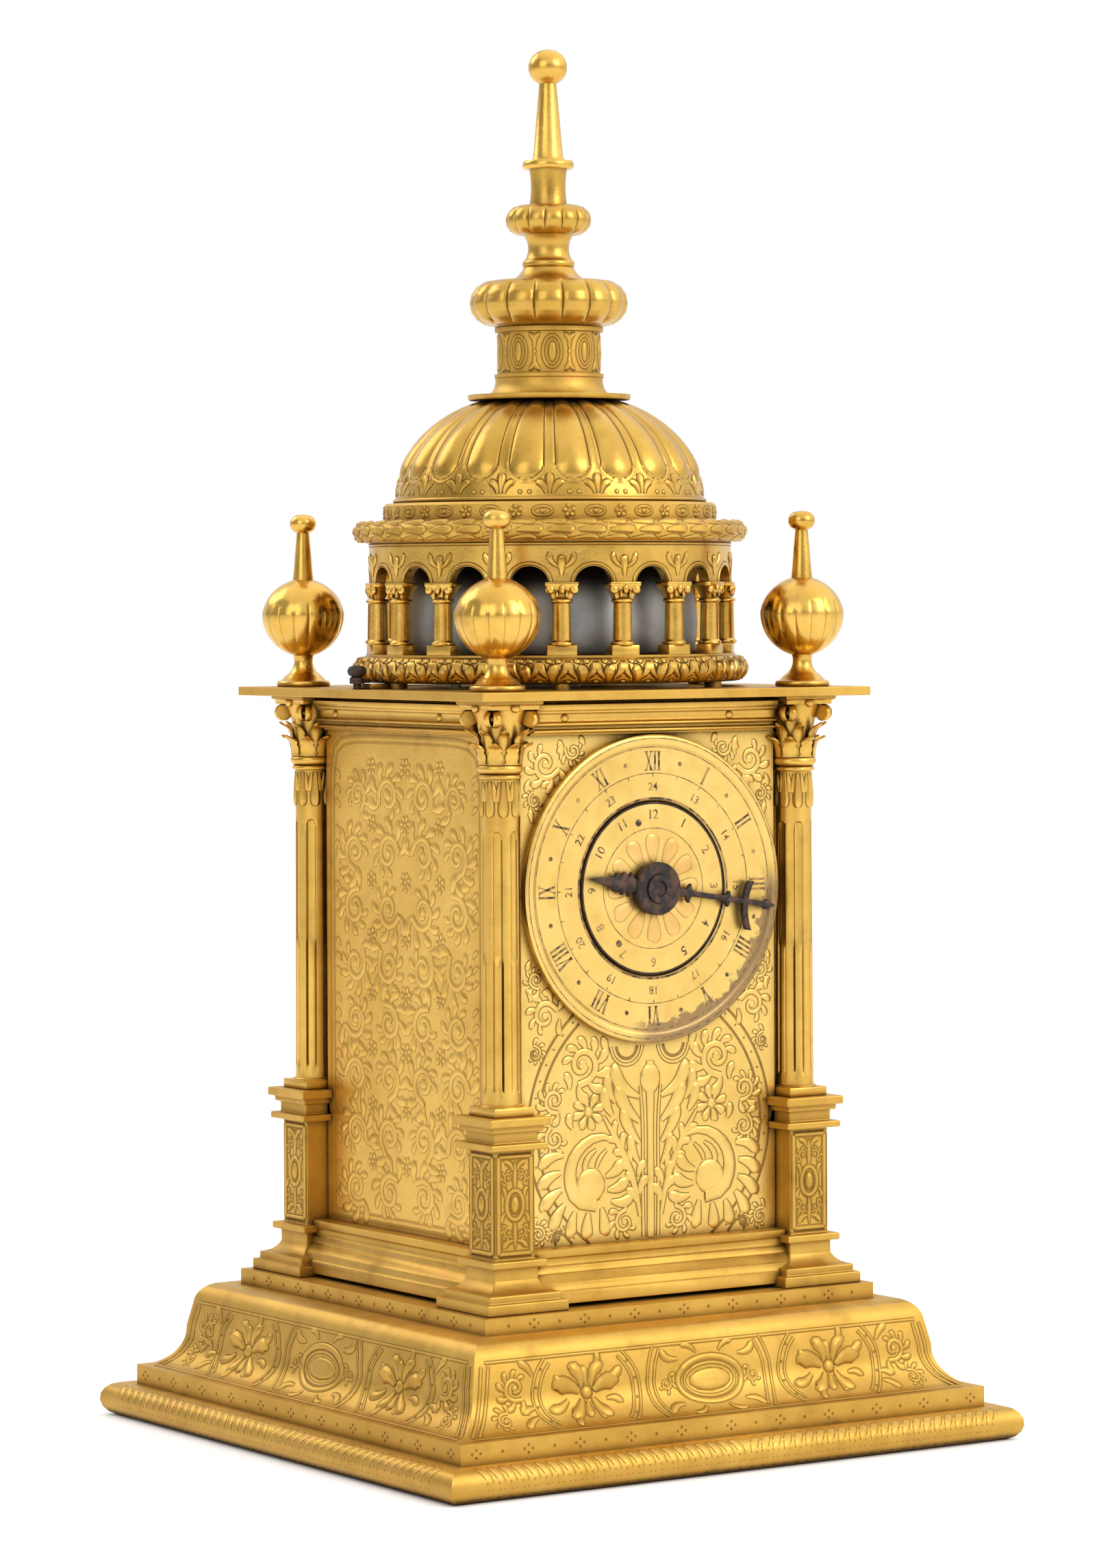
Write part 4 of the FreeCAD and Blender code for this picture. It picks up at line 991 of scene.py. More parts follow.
@dataclass(frozen=True)
class StainedGilt(Gilt):
    """Gilt with grey-brown rubbed patches along one part of the dial's rim."""

    hub: float = 127.0
    rim: float = 28.6
    sector: tuple[float, float] = (-97.0, 3.0)
    rubbed: Colour = (0.21, 0.13, 0.075)

    def mixed(self, graph: Graph) -> bpy.types.Material:
        """Add the patches to the plain gilt's base colour.

        Args:
            graph: the tree to build in.

        Returns:
            The material.
        """
        material = super().mixed(graph)
        shader = next(node for node in graph.tree.nodes if node.type == "BSDF_PRINCIPLED")
        colour = Wire(graph, shader.inputs["Base Color"].links[0].from_socket)
        x, _, z = graph.parts()
        rise = z - self.hub
        angle = graph.math("ARCTAN2", rise, x)
        low, high = (radians(bound) for bound in self.sector)
        sector = angle.step(low - 0.12, low + 0.12) * (1 - angle.step(high - 0.12, high + 0.12))
        band = ((x * x + rise * rise) ** 0.5).step(self.rim, self.rim + 4.4)
        blot = (graph.noise(3.4, 6.0) + band * 0.34).step(0.60, 0.68)
        stained = graph.mix(blot * sector * band.step(0.02, 0.2) * 0.8, colour, self.rubbed)
        graph.tree.links.new(stained.socket, shader.inputs["Base Color"])
        return material


@dataclass(frozen=True)
class Iron(Finish):
    """Dark forged iron with a brown bloom."""

    dark: Colour = (0.030, 0.024, 0.022)
    bloom: Colour = (0.105, 0.058, 0.040)

    def mixed(self, graph: Graph) -> bpy.types.Material:
        """Blend black iron and rust by noise.

        Args:
            graph: the tree to build in.

        Returns:
            The material.
        """
        rust = graph.noise(1.8, 6.0)
        fine = graph.noise(0.35, 3.0)
        colour = graph.mix(rust.step(0.42, 0.68), self.dark, self.bloom)
        return graph.surface(colour, graph.clamp(0.42 + rust * 0.3), rust * 0.6 + fine * 0.4, 0.12, 0.7, 0.8)


# The near black of painted shade.
SHADE_BLACK: Colour = (0.018, 0.016, 0.014)


@dataclass(frozen=True)
class Filed(Finish):
    """Metal with the marks of a file or a lathe along one direction, with painted shade that darkens it
    between two heights and fully above them.
    """

    light: Colour = (0.46, 0.44, 0.40)
    dull: Colour = (0.25, 0.21, 0.16)
    stretch: tuple[float, float, float] = (1.0, 1.0, 9.0)
    gloss: float = 0.36
    sooty: Flat = (900.0, 950.0)

    def mixed(self, graph: Graph) -> bpy.types.Material:
        """Blend the metal's tones and score it.

        Args:
            graph: the tree to build in.

        Returns:
            The material.
        """
        broad = graph.noise(14.0)
        marks = graph.noise(1.6, 5.0, self.stretch)
        # Painted shade: ambient occlusion turns corners within 3 mm towards the dull tone.
        hidden = (1 - graph.openness(3.0)) * 0.8
        tone = graph.clamp(broad.step(0.40, 0.72) * 0.7 + hidden)
        colour = graph.mix(tone, self.light, self.dull)
        # Painted shade: near black from the higher of the two heights up, fading out down to the lower.
        colour = graph.mix(graph.parts()[2].step(*self.sooty) * 0.92, colour, SHADE_BLACK)
        rough = graph.clamp(self.gloss + (marks - 0.5) * 0.3 + hidden * 0.2)
        return graph.surface(colour, rough, marks, 0.08, 1.0, 0.6)


@dataclass(frozen=True)
class Inlay(Finish):
    """Dark wax that fills the engraved figures, worn thin in places."""

    wax: Colour = (0.030, 0.017, 0.008)
    worn: Colour = (0.40, 0.23, 0.07)

    def mixed(self, graph: Graph) -> bpy.types.Material:
        """Blend full and worn wax."""
        wear = graph.noise(1.9, 5.0)
        colour = graph.mix(wear.step(0.38, 0.60), self.wax, self.worn)
        return graph.surface(colour, graph.clamp(0.5 + wear * 0.2), wear, 0.05, 0.25, 0.5)


@dataclass(frozen=True)
class Sweep(Finish):
    """The pale studio floor."""

    pale: Colour = (0.97, 0.97, 0.968)
    shade: Colour = (0.955, 0.955, 0.952)

    def mixed(self, graph: Graph) -> bpy.types.Material:
        """A faint mottle, so that the floor is not one flat colour."""
        mottle = graph.noise(60.0)
        colour = graph.mix(mottle, self.pale, self.shade)
        return graph.surface(colour, graph.clamp(0.75 + mottle * 0.1), mottle, 0.05, 0.0, 0.2)


# A lighter, yellower gilt for the parts that face the front; on the front panel it is painted light, a
# lighter copy of the side panels' gilt.
FRONT_LIT_LEMON = {"bright": (0.81, 0.57, 0.18), "deep": (0.66, 0.42, 0.105)}
DUSKY = {"bright": (0.72, 0.46, 0.11), "deep": (0.48, 0.27, 0.05), "grime": 0.6}
DULL = {"bright": (0.66, 0.41, 0.09), "deep": (0.47, 0.265, 0.045)}
PLAIN_GILT = Gilt("gilt_plain", polish=0.47, **DULL)
CHASED_GILT = Gilt("gilt_chased", polish=0.44, outline=0.5, **DULL)
DOME_GILT = Gilt("gilt_dome", polish=0.3, crevice=0.95, outline=0.75, grime=0.55, **DULL)
TURNED_GILT = Gilt("gilt_turned", polish=0.25, crevice=0.95, outline=0.7, grime=0.5)
COLUMN_GILT = Gilt("gilt_column", polish=0.32, outline=0.7, grime=0.5)
MATTED_GILT = Gilt("gilt_matted", matting=0.12, polish=0.36)
PANEL_CHASED = Gilt("gilt_panel", outline=0.32, polish=0.36, crevice=0.8)
# The front panel's strong crevice over a wide reach paints shade beside the columns and round the dial.
FRONT_GILT = Gilt("gilt_front", matting=0.10, polish=0.36, crevice=1.2, reach=3.0, **FRONT_LIT_LEMON)
FRONT_CHASED = Gilt("gilt_front_chased", outline=0.68, polish=0.33, crevice=0.9, **FRONT_LIT_LEMON)
DUSKY_GILT = Gilt("gilt_dusky", outline=0.95, polish=0.34, crevice=1.2, **DUSKY)
# Strong crevice over a wide reach: painted shade under the top plate, with grime.
CORNICE_GILT = Gilt("gilt_cornice", polish=0.33, crevice=1.5, reach=3.0, grime=0.7)
DIAL_GILT = StainedGilt("gilt_dial", polish=0.33, crevice=0.8, **FRONT_LIT_LEMON)
DISC_GILT = Gilt("gilt_disc", polish=0.32, crevice=0.8, **FRONT_LIT_LEMON)
ROSETTE_GILT = Gilt("gilt_rosette", bright=(0.80, 0.52, 0.18), deep=(0.64, 0.36, 0.105), polish=0.34,
                    outline=0.3)
FORGED_IRON = Iron("iron_forged")
FILED_STEEL = Filed("steel_filed")
BRASS_WHEEL = Filed("brass_wheel", light=(0.62, 0.44, 0.16), dull=(0.30, 0.18, 0.05))
# The bell is painted dark from 191.5 mm up: painted shade under the gallery's cornice.
BELL_GREY = Filed("bell_grey", light=(0.29, 0.29, 0.28), dull=(0.19, 0.185, 0.175), stretch=(1.0, 1.0, 14.0),
                  gloss=0.45, sooty=(191.5, 198.0))
WAX = Inlay("inlay_wax")
STUDIO_FLOOR = Sweep("studio_floor")


@dataclass
class Plinth:
    """The square moulded foot, hollow below, with a chased field on each side."""

    foot: float = 74.6
    bulge: float = 77.5
    band: float = 71.0
    throat: float = 69.4
    brow: float = 61.0
    cap: float = 53.0
    deck: float = 35.2
    medallion: float = 33.0

    def torus(self) -> Outline:
        """The round foot."""
        return profile((self.foot, 0), ((self.bulge, 3.4), (72.4, 7.4)))

    def field(self) -> Outline:
        """The hollow field that carries the ornament."""
        return profile((self.throat, 12), ((64.3, 15.4), (62.4, 21.5)), (self.brow, 28))

    def build(self) -> None:
        """Make the shell and its chased sides."""
        roll = arc((self.brow, 28), (59, 30.8), (54.5, 31.6))
        outer = [*self.torus(), (self.band, 7.4), (self.band, 12), *self.field(), *roll]
        outer += [(self.cap, 31.6), (self.cap, self.deck), (0, self.deck)]
        inner = [(0, 31.8), (50, 31.8), (58, 27), (59.4, 14), (68, 7.4), (68, 0)]
        Shape.squared([*inner, *outer]).stand_in("plinth", PLAIN_GILT)
        for side in Side:
            work = self.field_sheet().shape().laid(Rail(self.field()).on_side(side))
            work.add(self.torus_sheet().shape().laid(Rail(self.torus()).on_side(side)))
            work.add(self.band_sheet(self.band, 9.7).shape().laid(on_face(self.band, side)))
            work.add(self.band_sheet(self.cap, 33.4).shape().laid(on_face(self.cap, side)))
            work.piece(f"plinth_chasing_{side.name.lower()}", CHASED_GILT)

    def field_sheet(self) -> Chasing:
        """Draw the field: a cabochon, two flowers in oval straps, curls between them and at the corners.

        Returns:
            The sheet.
        """
        sheet = Chasing(0.42)
        rail = Rail(self.field())
        middle = rail.length * 0.52
        for level in (0.8, rail.length - 0.8):
            reach = rail.at(level)[0].x - 2.6
            sheet.bar((-reach, level), (reach, level), 0.26)
        sheet.boss((0, middle), 5.6, 2.5, 3, 0.6)
        sheet.oval((0, middle), 7.0, 3.8, 0.3, 16).oval((0, middle), 8.8, 5.2, 0.7, 16)
        for hand in HANDS:
            self.medallion_on(sheet, Vector((hand * self.medallion, middle)))
            self.curls_on(sheet, middle, hand)
            self.corner_on(sheet, rail, middle, hand)
        return sheet

    def medallion_on(self, sheet: Chasing, eye: Vector) -> None:
        """Draw a flower with spreading leaves between two bowed straps.

        Args:
            sheet: where it is drawn.
            eye: the flower's middle.
        """
        sheet.boss(eye, 1.5, 1.5, 2, 0.5)
        for angle, reach, bend, width in (
                (8, 10.6, 0.2, 2.0), (172, 10.8, -0.2, 2.1), (48, 9.4, 0.25, 1.5), (128, 9.0, -0.25, 1.6),
                (90, 7.2, 0.1, 1.2), (222, 9.2, 0.2, 1.6), (318, 9.4, -0.2, 1.5), (270, 7.2, -0.1, 1.2)):
            spoke = polar(1, radians(angle))
            sheet.lobe(eye + spoke * 1.9, eye + spoke * reach * 0.78, bend, width * 0.86)
            side = polar(1, radians(angle + 22))
            sheet.lobe(eye + side * 5.2, eye + side * reach * 0.98, -bend, width * 0.5)
        for turn in (0, 180):
            for reach in (14.2, 12.4):
                sheet.bow(eye, reach, turn - 44, turn + 44, 0.26, 10, 0.84)
            for step in (-32, -11, 11, 32):
                spoke = polar(13.3, radians(turn + step))
                sheet.dot(eye + Vector((spoke.x, spoke.y * 0.84)), 0.4)

    def curls_on(self, sheet: Chasing, middle: float, hand: int) -> None:
        """Draw the strap and the curls between the cabochon and a flower.

        Args:
            sheet: where it is drawn.
            middle: the field's middle line.
            hand: 1 on the right, -1 on the left.
        """
        turn = mirrored(0, hand)
        for reach in (15.0, 16.8):
            sheet.bow((0, middle), reach, turn - 32, turn + 32, 0.26, 10, 0.98)
        sheet.scroll((hand * 11.8, middle), 2.4, mirrored(120, hand), hand, 1.1, 4)
        for up in (-1, 1):
            outer = handed(hand, (8.2, middle + up * 5.2), (12.2, middle + up * 7.6))
            inner = handed(hand, (3.0, middle + up * 6.2), (7.0, middle + up * 7.8))
            sheet.lobe(*outer, -hand * up * 0.25, 0.8)
            sheet.lobe(*inner, hand * up * 0.2, 0.6)

    def corner_on(self, sheet: Chasing, rail: Rail, middle: float, hand: int) -> None:
        """Draw the curls outside a strap and the lines beside the mitre.

        Args:
            sheet: where it is drawn.
            rail: the field's profile.
            middle: the field's middle line.
            hand: 1 on the right, -1 on the left.
        """
        sheet.scroll((hand * 51.6, middle + 2.4), 4.4, mirrored(235, hand), hand, 1.2, 7)
        sheet.scroll((hand * 55.4, middle - 4.6), 3.0, mirrored(120, hand), -hand, 1.1, 6)
        for lift in (-6.4, -3.2, 6.8):
            base, tip = handed(hand, (46.8, middle + lift * 0.7), (50.2, middle + lift * 1.15))
            sheet.lobe(base, tip, hand * 0.15, 0.8)
        knots = [rail.length * (0.08 + 0.84 * i / 7) for i in range(8)]
        for inset in (1.8, 3.6):
            sheet.line([(hand * (rail.at(v)[0].x - inset), v) for v in knots], 0.32)

    def torus_sheet(self) -> Chasing:
        """Draw the slanting leaves on the foot.

        Returns:
            The sheet.
        """
        sheet = Chasing(0.16, 0.1)
        pitch = 3.0
        count = int((self.foot - 5) / pitch)
        for hand in HANDS:
            for i in range(count):
                u = hand * (1.6 + i * pitch)
                sheet.lobe((u, 2.0), (u + hand * 2.4, 9.6), hand * 0.16, 0.85)
        return sheet

    def band_sheet(self, reach: float, level: float) -> Chasing:
        """Draw the punched marks on a flat band: four dots in a cross, then one dot, by turns.

        Args:
            reach: half the band's length.
            level: its middle height.

        Returns:
            The sheet.
        """
        sheet = Chasing(0.4)
        pitch = 6.7
        arm = 0.82
        count = int((reach - 3) / pitch)
        for i in range(-count, count + 1):
            u = i * pitch
            if i % 2:
                sheet.dot((u, level), 0.42)
            else:
                for across, up in ((-arm, 0), (arm, 0), (0, -arm), (0, arm)):
                    sheet.dot((u + across * 1.3, level + up), 0.36)
        return sheet


@dataclass
class Case:
    """The square case: its panels and top plate stay CAD; the chasing and the mouldings are made here."""

    face: float = 40.0
    foot: float = 47.8
    margin: float = 32.8
    ring_level: float = 73.5
    ring_inner: float = 30.6
    ring_outer: float = 33.2

    def build(self) -> None:
        """Make the ornament of the four panels, and the mouldings at their foot and head."""
        self.front_sheet().shape().laid(on_face(self.face, Side.FRONT)).piece("front_chasing", FRONT_CHASED)
        for side in (Side.LEFT, Side.RIGHT, Side.BACK):
            work = self.panel_sheet(side is Side.BACK).shape().laid(on_face(self.face, side))
            work.piece(f"{side.name.lower()}_chasing", PANEL_CHASED)
        foot = [(0, 0.8), (7.3, 0.8), (7.3, 3.5), (6.7, 3.8), (6.7, 5.4), (6.1, 5.7), (4.9, 7.3), (4.5, 7.4),
                (4.5, 8.8), (3.7, 9.1), (3.7, 10.6), (4.2, 10.9), (4.2, 12.6), (0, 12.6)]
        head = [(0, 0), (1.5, 0), (1.5, 0.4), (3.0, 0.7), (3.0, 1.2), (2.5, 1.4), (2.5, 2.0), (3.8, 2.3),
                (3.8, 2.8), (3.3, 3.0), (3.3, 4.8), (4.0, 5.0), (4.0, 5.4), (4.6, 5.7), (4.6, 7.0), (0, 7.0)]
        for side in Side:
            name = side.name.lower()
            base = self.strip(foot, 34.6, 35.2).placed(side.turn)
            base.stand_in(f"base_moulding_{name}", PLAIN_GILT)
            cornice = self.strip(head, 33.1, 162.0)
            for across in (-25.0, 20.0):
                cornice.add(Shape.ball((across, -43.2, 165.9), (1.1, 0.5, 0.95)))
            cornice.placed(side.turn).stand_in(f"cornice_{name}", CORNICE_GILT)

    def strip(self, outline: Outline, half: float, level: float) -> Shape:
        """A straight moulding on the front panel from an outline of (reach, height)."""
        bar = Shape.plate(outline, -half, half).soften(0.12, segments=1)
        return bar.shift(lambda point: Vector((point.z, -self.face - point.x, level + point.y))).clean()

    def front_sheet(self) -> Chasing:
        """Draw the front: ring of dots, candelabrum stem, paired scrolls and flowers, corners by the dial.

        Returns:
            The sheet.
        """
        sheet = Chasing(0.24, 0.17)
        stem = [(0, 48.2), (0, 56), (0, 66), (0, 76), (0, 84), (0, 88)]
        sheet.stroke(stem, [1.0, 0.95, 0.85, 0.75, 1.3, 1.0])
        sheet.boss((0, 84.0), 2.7, 3.4, 3, 0.4)
        for hand in HANDS:
            self.ring_on(sheet, hand)
            self.comma_on(sheet, hand)
            self.bloom_on(sheet, hand)
            self.corners_on(sheet, hand)
        return sheet

    def ring_on(self, sheet: Chasing, hand: int) -> None:
        """Draw one half of the ring of dots.

        Args:
            sheet: where it is drawn.
            hand: 1 on the right, -1 on the left.
        """
        hub = Vector((0, self.ring_level))
        for reach, low in ((self.ring_inner, -57), (self.ring_outer, -50)):
            sheet.bow(hub, reach, mirrored(51, hand), mirrored(low, hand), 0.14, 16)
        for i in range(15):
            angle = mirrored(49 - 7 * i, hand)
            sheet.dot(hub + polar((self.ring_inner + self.ring_outer) / 2, radians(angle)), 0.3)

    def comma_on(self, sheet: Chasing, hand: int) -> None:
        """Draw the lower scroll: a swollen comma on a branch, with lobes round it.

        Args:
            sheet: where it is drawn.
            hand: 1 on the right, -1 on the left.
        """
        rib = handed(hand, (2.0, 48.4), (2.2, 57), (2.1, 67), (2.0, 76), (2.8, 82.5))
        sheet.stroke(rib, [0.4, 0.4, 0.36, 0.36, 0.3])
        branch = handed(hand, (2.9, 53.0), (3.9, 62.4), (7.6, 68.4), (12.8, 76.2))
        sheet.spray(branch, [0.45, 0.9, 1.2, 0.35], 5, 4.4)
        tail = handed(hand, (9.0, 70.4), (13.0, 72.4), (18.2, 70.8), (22.0, 66.4), (22.2, 60.6), (19.4, 56.6),
                      (15.0, 56.4))
        sheet.stroke(tail, [0.3, 0.85, 1.25, 1.45, 1.7, 1.8, 1.5])
        sheet.boss((hand * 16.4, 60.8), 3.9, 3.9, 3, 0.45)
        hook = handed(hand, (14.8, 68.8), (17.8, 67.2), (18.8, 64.8), (17.0, 63.4))
        sheet.stroke(hook, [0.3, 0.8, 0.9, 0.5])
        sheet.stroke(handed(hand, (12.0, 68.6), (14.6, 66.6), (14.8, 64.6)), [0.3, 0.75, 0.4])
        for base, tip, bend, width in (
                ((20.6, 55.2), (21.6, 49.6), 0.08, 1.35), ((17.0, 54.8), (17.2, 49.0), 0.05, 1.35),
                ((13.4, 55.6), (12.6, 49.4), -0.05, 1.3), ((23.4, 57.0), (26.4, 51.6), 0.1, 1.4),
                ((24.2, 60.4), (29.2, 55.8), 0.12, 1.4), ((24.4, 64.2), (29.8, 60.6), 0.15, 1.35),
                ((23.6, 68.0), (29.6, 65.2), 0.2, 1.25), ((12.2, 62.6), (8.2, 66.4), 0.2, 1.3),
                ((11.8, 59.6), (6.8, 62.2), 0.2, 1.3), ((10.8, 57.0), (5.4, 58.0), 0.2, 1.2)):
            sheet.lobe(*handed(hand, base, tip), hand * bend, width)
        sheet.scroll((hand * 7.2, 52.0), 4.0, mirrored(100, hand), -hand, 1.2, 6)

    def bloom_on(self, sheet: Chasing, hand: int) -> None:
        """Draw the flower, the curl over it, the leaves of the stem and the scallop under the dial.

        Args:
            sheet: where it is drawn.
            hand: 1 on the right, -1 on the left.
        """
        sheet.flower((hand * 16.9, 77.4), 4.2, 8, 0.2)
        sheet.scroll((hand * 18.4, 88.0), 6.6, mirrored(285, hand), -hand, 1.25, 8)
        sheet.scroll((hand * 26.0, 80.4), 4.3, mirrored(250, hand), hand, 1.15, 7)
        sheet.scroll((hand * 26.0, 71.8), 4.0, mirrored(70, hand), -hand, 1.1, 6)
        for base, tip, bend, width in (
                ((3.0, 80.0), (9.4, 87.8), 0.2, 1.5), ((3.0, 74.4), (8.6, 83.0), 0.12, 1.5),
                ((3.0, 69.6), (7.2, 77.6), 0.1, 1.3), ((3.0, 64.6), (5.4, 71.4), 0.08, 1.0),
                ((10.4, 76.2), (12.0, 82.4), 0.15, 1.3), ((9.6, 79.0), (11.2, 85.6), 0.15, 1.1),
                ((22.0, 82.6), (23.4, 86.0), -0.2, 0.9), ((21.2, 73.8), (21.6, 77.0), 0.2, 0.9)):
            sheet.lobe(*handed(hand, base, tip), -hand * bend, width)
        sheet.bow((hand * 6.4, 91.6), 4.3, 180, 360, 0.34, 10).bow((hand * 6.4, 91.6), 2.9, 180, 360, 0.2, 8)
        sheet.lobe((hand * 11.4, 90.0), (hand * 12.4, 94.0), 0.1, 0.9)

    def corners_on(self, sheet: Chasing, hand: int) -> None:
        """Draw the curls that fill the corners by the dial and outside the ring.

        Args:
            sheet: where it is drawn.
            hand: 1 on the right, -1 on the left.
        """
        for u, v, size, start, turn in (
                (28.0, 155.6, 5.4, 200, 1), (20.6, 158.4, 3.2, 20, -1), (31.0, 147.6, 2.7, 80, -1),
                (28.4, 99.4, 5.0, 160, -1), (30.8, 107.6, 3.0, 250, 1), (31.2, 91.2, 2.6, 80, 1),
                (30.4, 50.8, 2.9, 60, 1), (25.4, 49.8, 1.9, 160, -1)):
            sheet.scroll((hand * u, v), size, mirrored(start, hand), hand * turn, 1.1, 6)
        for base, tip in (((24.0, 156.4), (24.6, 160.6)), ((17.6, 159.6), (19.0, 161.2)),
                          ((26.2, 151.6), (28.8, 150.2)), ((32.2, 152.2), (32.8, 149.6)),
                          ((24.4, 98.6), (24.2, 95.2)), ((26.6, 103.8), (29.0, 104.4)),
                          ((32.4, 102.6), (32.8, 105.0)), ((31.8, 142.4), (32.6, 145.2)),
                          ((32.0, 112.0), (32.8, 109.8))):
            sheet.lobe(*handed(hand, base, tip), hand * 0.15, 0.7)

    def panel_sheet(self, holes: bool) -> Chasing:
        """Draw a side: a border with a round head and a close net of scrolls and flowers.

        Args:
            holes: whether the winding holes are left free.

        Returns:
            The sheet.
        """
        sheet = Chasing(0.2, 0.12)
        for inset, width in ((0.0, 0.3), (1.5, 0.2)):
            wide, low, high = self.margin - inset, self.foot + 1.2 + inset, 161.0 - inset
            half = [(wide, low), (wide, 80), (wide, 115), (wide, 146), (wide, high - 1), (wide - 9, high),
                    (0, high)]
            sheet.line([*half, *[(-u, v) for u, v in reversed(half[:-1])]], width)
            sheet.bar((-wide, low), (wide, low), width, 4)
        winding = Vector((16.44, 80.0))
        for row in range(8):
            level = 56.4 + 13 * row
            for hand in HANDS:
                for column, across in enumerate((7.4, 22.0)):
                    turn = 1 if (row + column) % 2 else -1
                    if holes and (Vector((across, level)) - winding).length < 10.5:
                        continue
                    size = 5.6 if row == 7 and column else 6.9
                    eye = (hand * (across - 1.2 if row == 7 and column else across), level)
                    sheet.scroll(eye, size, mirrored(180 + 40 * turn + 67 * row, hand), hand * turn, 1.3, 8)
                if not (holes and 1 <= row <= 2):
                    sheet.flower((hand * 14.7, level + 6.5), 2.1, 6, 0.3 * row)
                for lift in (-3.4, 0.0, 3.4):
                    base, tip = handed(hand, (28.4, level + lift), (30.6, level + lift + 1.6))
                    sheet.lobe(base, tip, hand * 0.2, 0.55)
            sheet.flower((0, level + 6.5), 2.3, 7, 0.2)
        if holes:
            for hand in HANDS:
                eye = Vector((hand * winding.x, winding.y))
                sheet.oval(eye, 3.9, 3.9, 0.4, 16).oval(eye, 7.2, 7.2, 0.26, 20)
                for i in range(12):
                    spoke = TURN * i / 12
                    sheet.lobe(eye + polar(4.6, spoke), eye + polar(6.8, spoke), 0.15, 0.6)
        return sheet


@dataclass
class Pilasters:
    """The four corners: pedestals, which stay CAD and get framed dies, and fluted columns."""

    axis: float = 40.3
    die: float = 5.3
    foot: float = 78.0
    neck: float = 153.0
    head: float = 170.0
    radius: float = 4.3
    flutes: int = 6
    flute_half: float = 1.25
    flute_low: float = 83.2
    flute_high: float = 141.0
    cable_high: float = 113.0

    def build(self) -> None:
        """Make the four columns and the ornament of the dies."""
        facing = {Corner.FRONT_LEFT: 227, Corner.FRONT_RIGHT: 249, Corner.BACK_LEFT: 232,
                  Corner.BACK_RIGHT: 240}
        for corner in Corner:
            across, deep = corner.value
            column = self.column(radians(facing[corner])).at(across * self.axis, deep * self.axis, 0)
            column.stand_in(f"column_{corner.tag}", COLUMN_GILT)
        for side in Side:
            work = Shape()
            for hand in HANDS:
                work.add(self.die_sheet(hand * self.axis).shape().laid(on_face(self.axis + self.die, side)))
            work.piece(f"pedestal_chasing_{side.name.lower()}", CHASED_GILT)

    def die_sheet(self, middle: float) -> Chasing:
        """Draw a die's frame, oval cartouche and curls.

        Args:
            middle: the die's place along its side.

        Returns:
            The sheet.
        """
        sheet = Chasing(0.5, 0.32)
        low, high, wide = 47.9, 69.4, 4.3
        frame_line = [(-wide, low), (wide, low), (wide, high), (-wide, high)]
        for start, end in zip(frame_line, frame_line[1:] + frame_line[:1]):
            sheet.bar((middle + start[0], start[1]), (middle + end[0], end[1]), 0.5)
        eye = Vector((middle, (low + high) / 2))
        sheet.boss(eye, 1.1, 2.0).oval(eye, 2.3, 3.4, 0.5)
        for up in (-1, 1):
            for hand in HANDS:
                flip = Vector((hand, up))
                curl = eye + Vector((1.75, 6.1)) * flip
                sheet.scroll(curl, 1.75, mirrored(-up * 70, hand), hand * up, 1.0, 5)
                for base, tip, width in (((0.5, 7.8), (2.9, 9.6), 0.6), ((2.6, 1.6), (3.3, 3.8), 0.45)):
                    sheet.lobe(eye + Vector(base) * flip, eye + Vector(tip) * flip, hand * 0.2, width)
            sheet.leaf(eye + Vector((0, up * 3.8)), eye + Vector((0, up * 9.8)), 0.0, 0.6)
        return sheet

    def column(self, facing: float) -> Shape:
        """A column on its own axis, with one flute towards an angle.

        Args:
            facing: the angle.

        Returns:
            The column.
        """
        base = self.foot
        low, high = self.flute_low, self.flute_high
        levels = [base + 2.6, base + 3.4, low]
        rows = 44
        levels += [low + 0.6 + (high - 1.4 - low) * i / rows for i in range(rows + 1)]
        levels += [high - 0.5, high - 0.25, high - 0.05, high + 0.1]
        outline = profile((0, base + 2.0), (4.9, base + 2.0), (4.9, base + 2.3),
                          ((4.6, base + 2.5), (4.35, base + 2.6)))
        outline += [(self.radius - 0.25 * (z - base) / (self.neck - base), z) for z in levels[1:]]
        ring = self.neck - 0.4
        outline += profile((4.1, ring), (4.5, ring), ((4.85, ring + 0.5), (4.5, ring + 1.0)),
                           (4.3, ring + 1.1), (4.6, ring + 1.3), ((5.25, ring + 2.3), (4.6, ring + 3.3)),
                           (4.0, ring + 3.4), (4.1, ring + 7), ((4.8, ring + 11), (6.2, self.head - 2)),
                           (0, self.head - 2))
        shaft = Shape.lathe(outline, self.flutes * 18)
        shaft.press(lambda point: self.fluted(point, facing))
        block = Shape.squared([(0, 0), (5.3, 0), (5.3, 2.1), (0, 2.1)]).soften(0.3)
        shaft.add(block, Matrix.Translation((0, 0, base)))
        self.necking_on(shaft)
        self.capital_on(shaft)
        return shaft

    def fluted(self, point: Vector, facing: float) -> tuple[Vector, float]:
        """A point of the shaft with the flutes cut and cabled below, and how dark it is there.

        Args:
            point: a point of the plain shaft.
            facing: the angle of one flute.

        Returns:
            Its new place and its darkness.
        """
        reach = hypot(point.x, point.y)
        if reach < 1 or not self.flute_low <= point.z <= self.flute_high:
            return point, 0.0
        share = (atan2(point.y, point.x) - facing) / TURN * self.flutes
        across = (share - round(share)) * TURN * self.radius / self.flutes
        end = max(0.0, point.z - (self.flute_high - self.flute_half)) / self.flute_half
        half = self.flute_half * sqrt(max(0.0, 1 - end * end))
        if abs(across) >= half:
            return point, 0.0
        place = across / half
        depth = 0.55 * sqrt(1 - place * place)
        if point.z < self.cable_high:
            depth = 0.12 + 0.4 * place ** 4
        scale = 1 - depth / reach
        return Vector((point.x * scale, point.y * scale, point.z)), 0.95 if abs(place) > 0.72 else 0.0

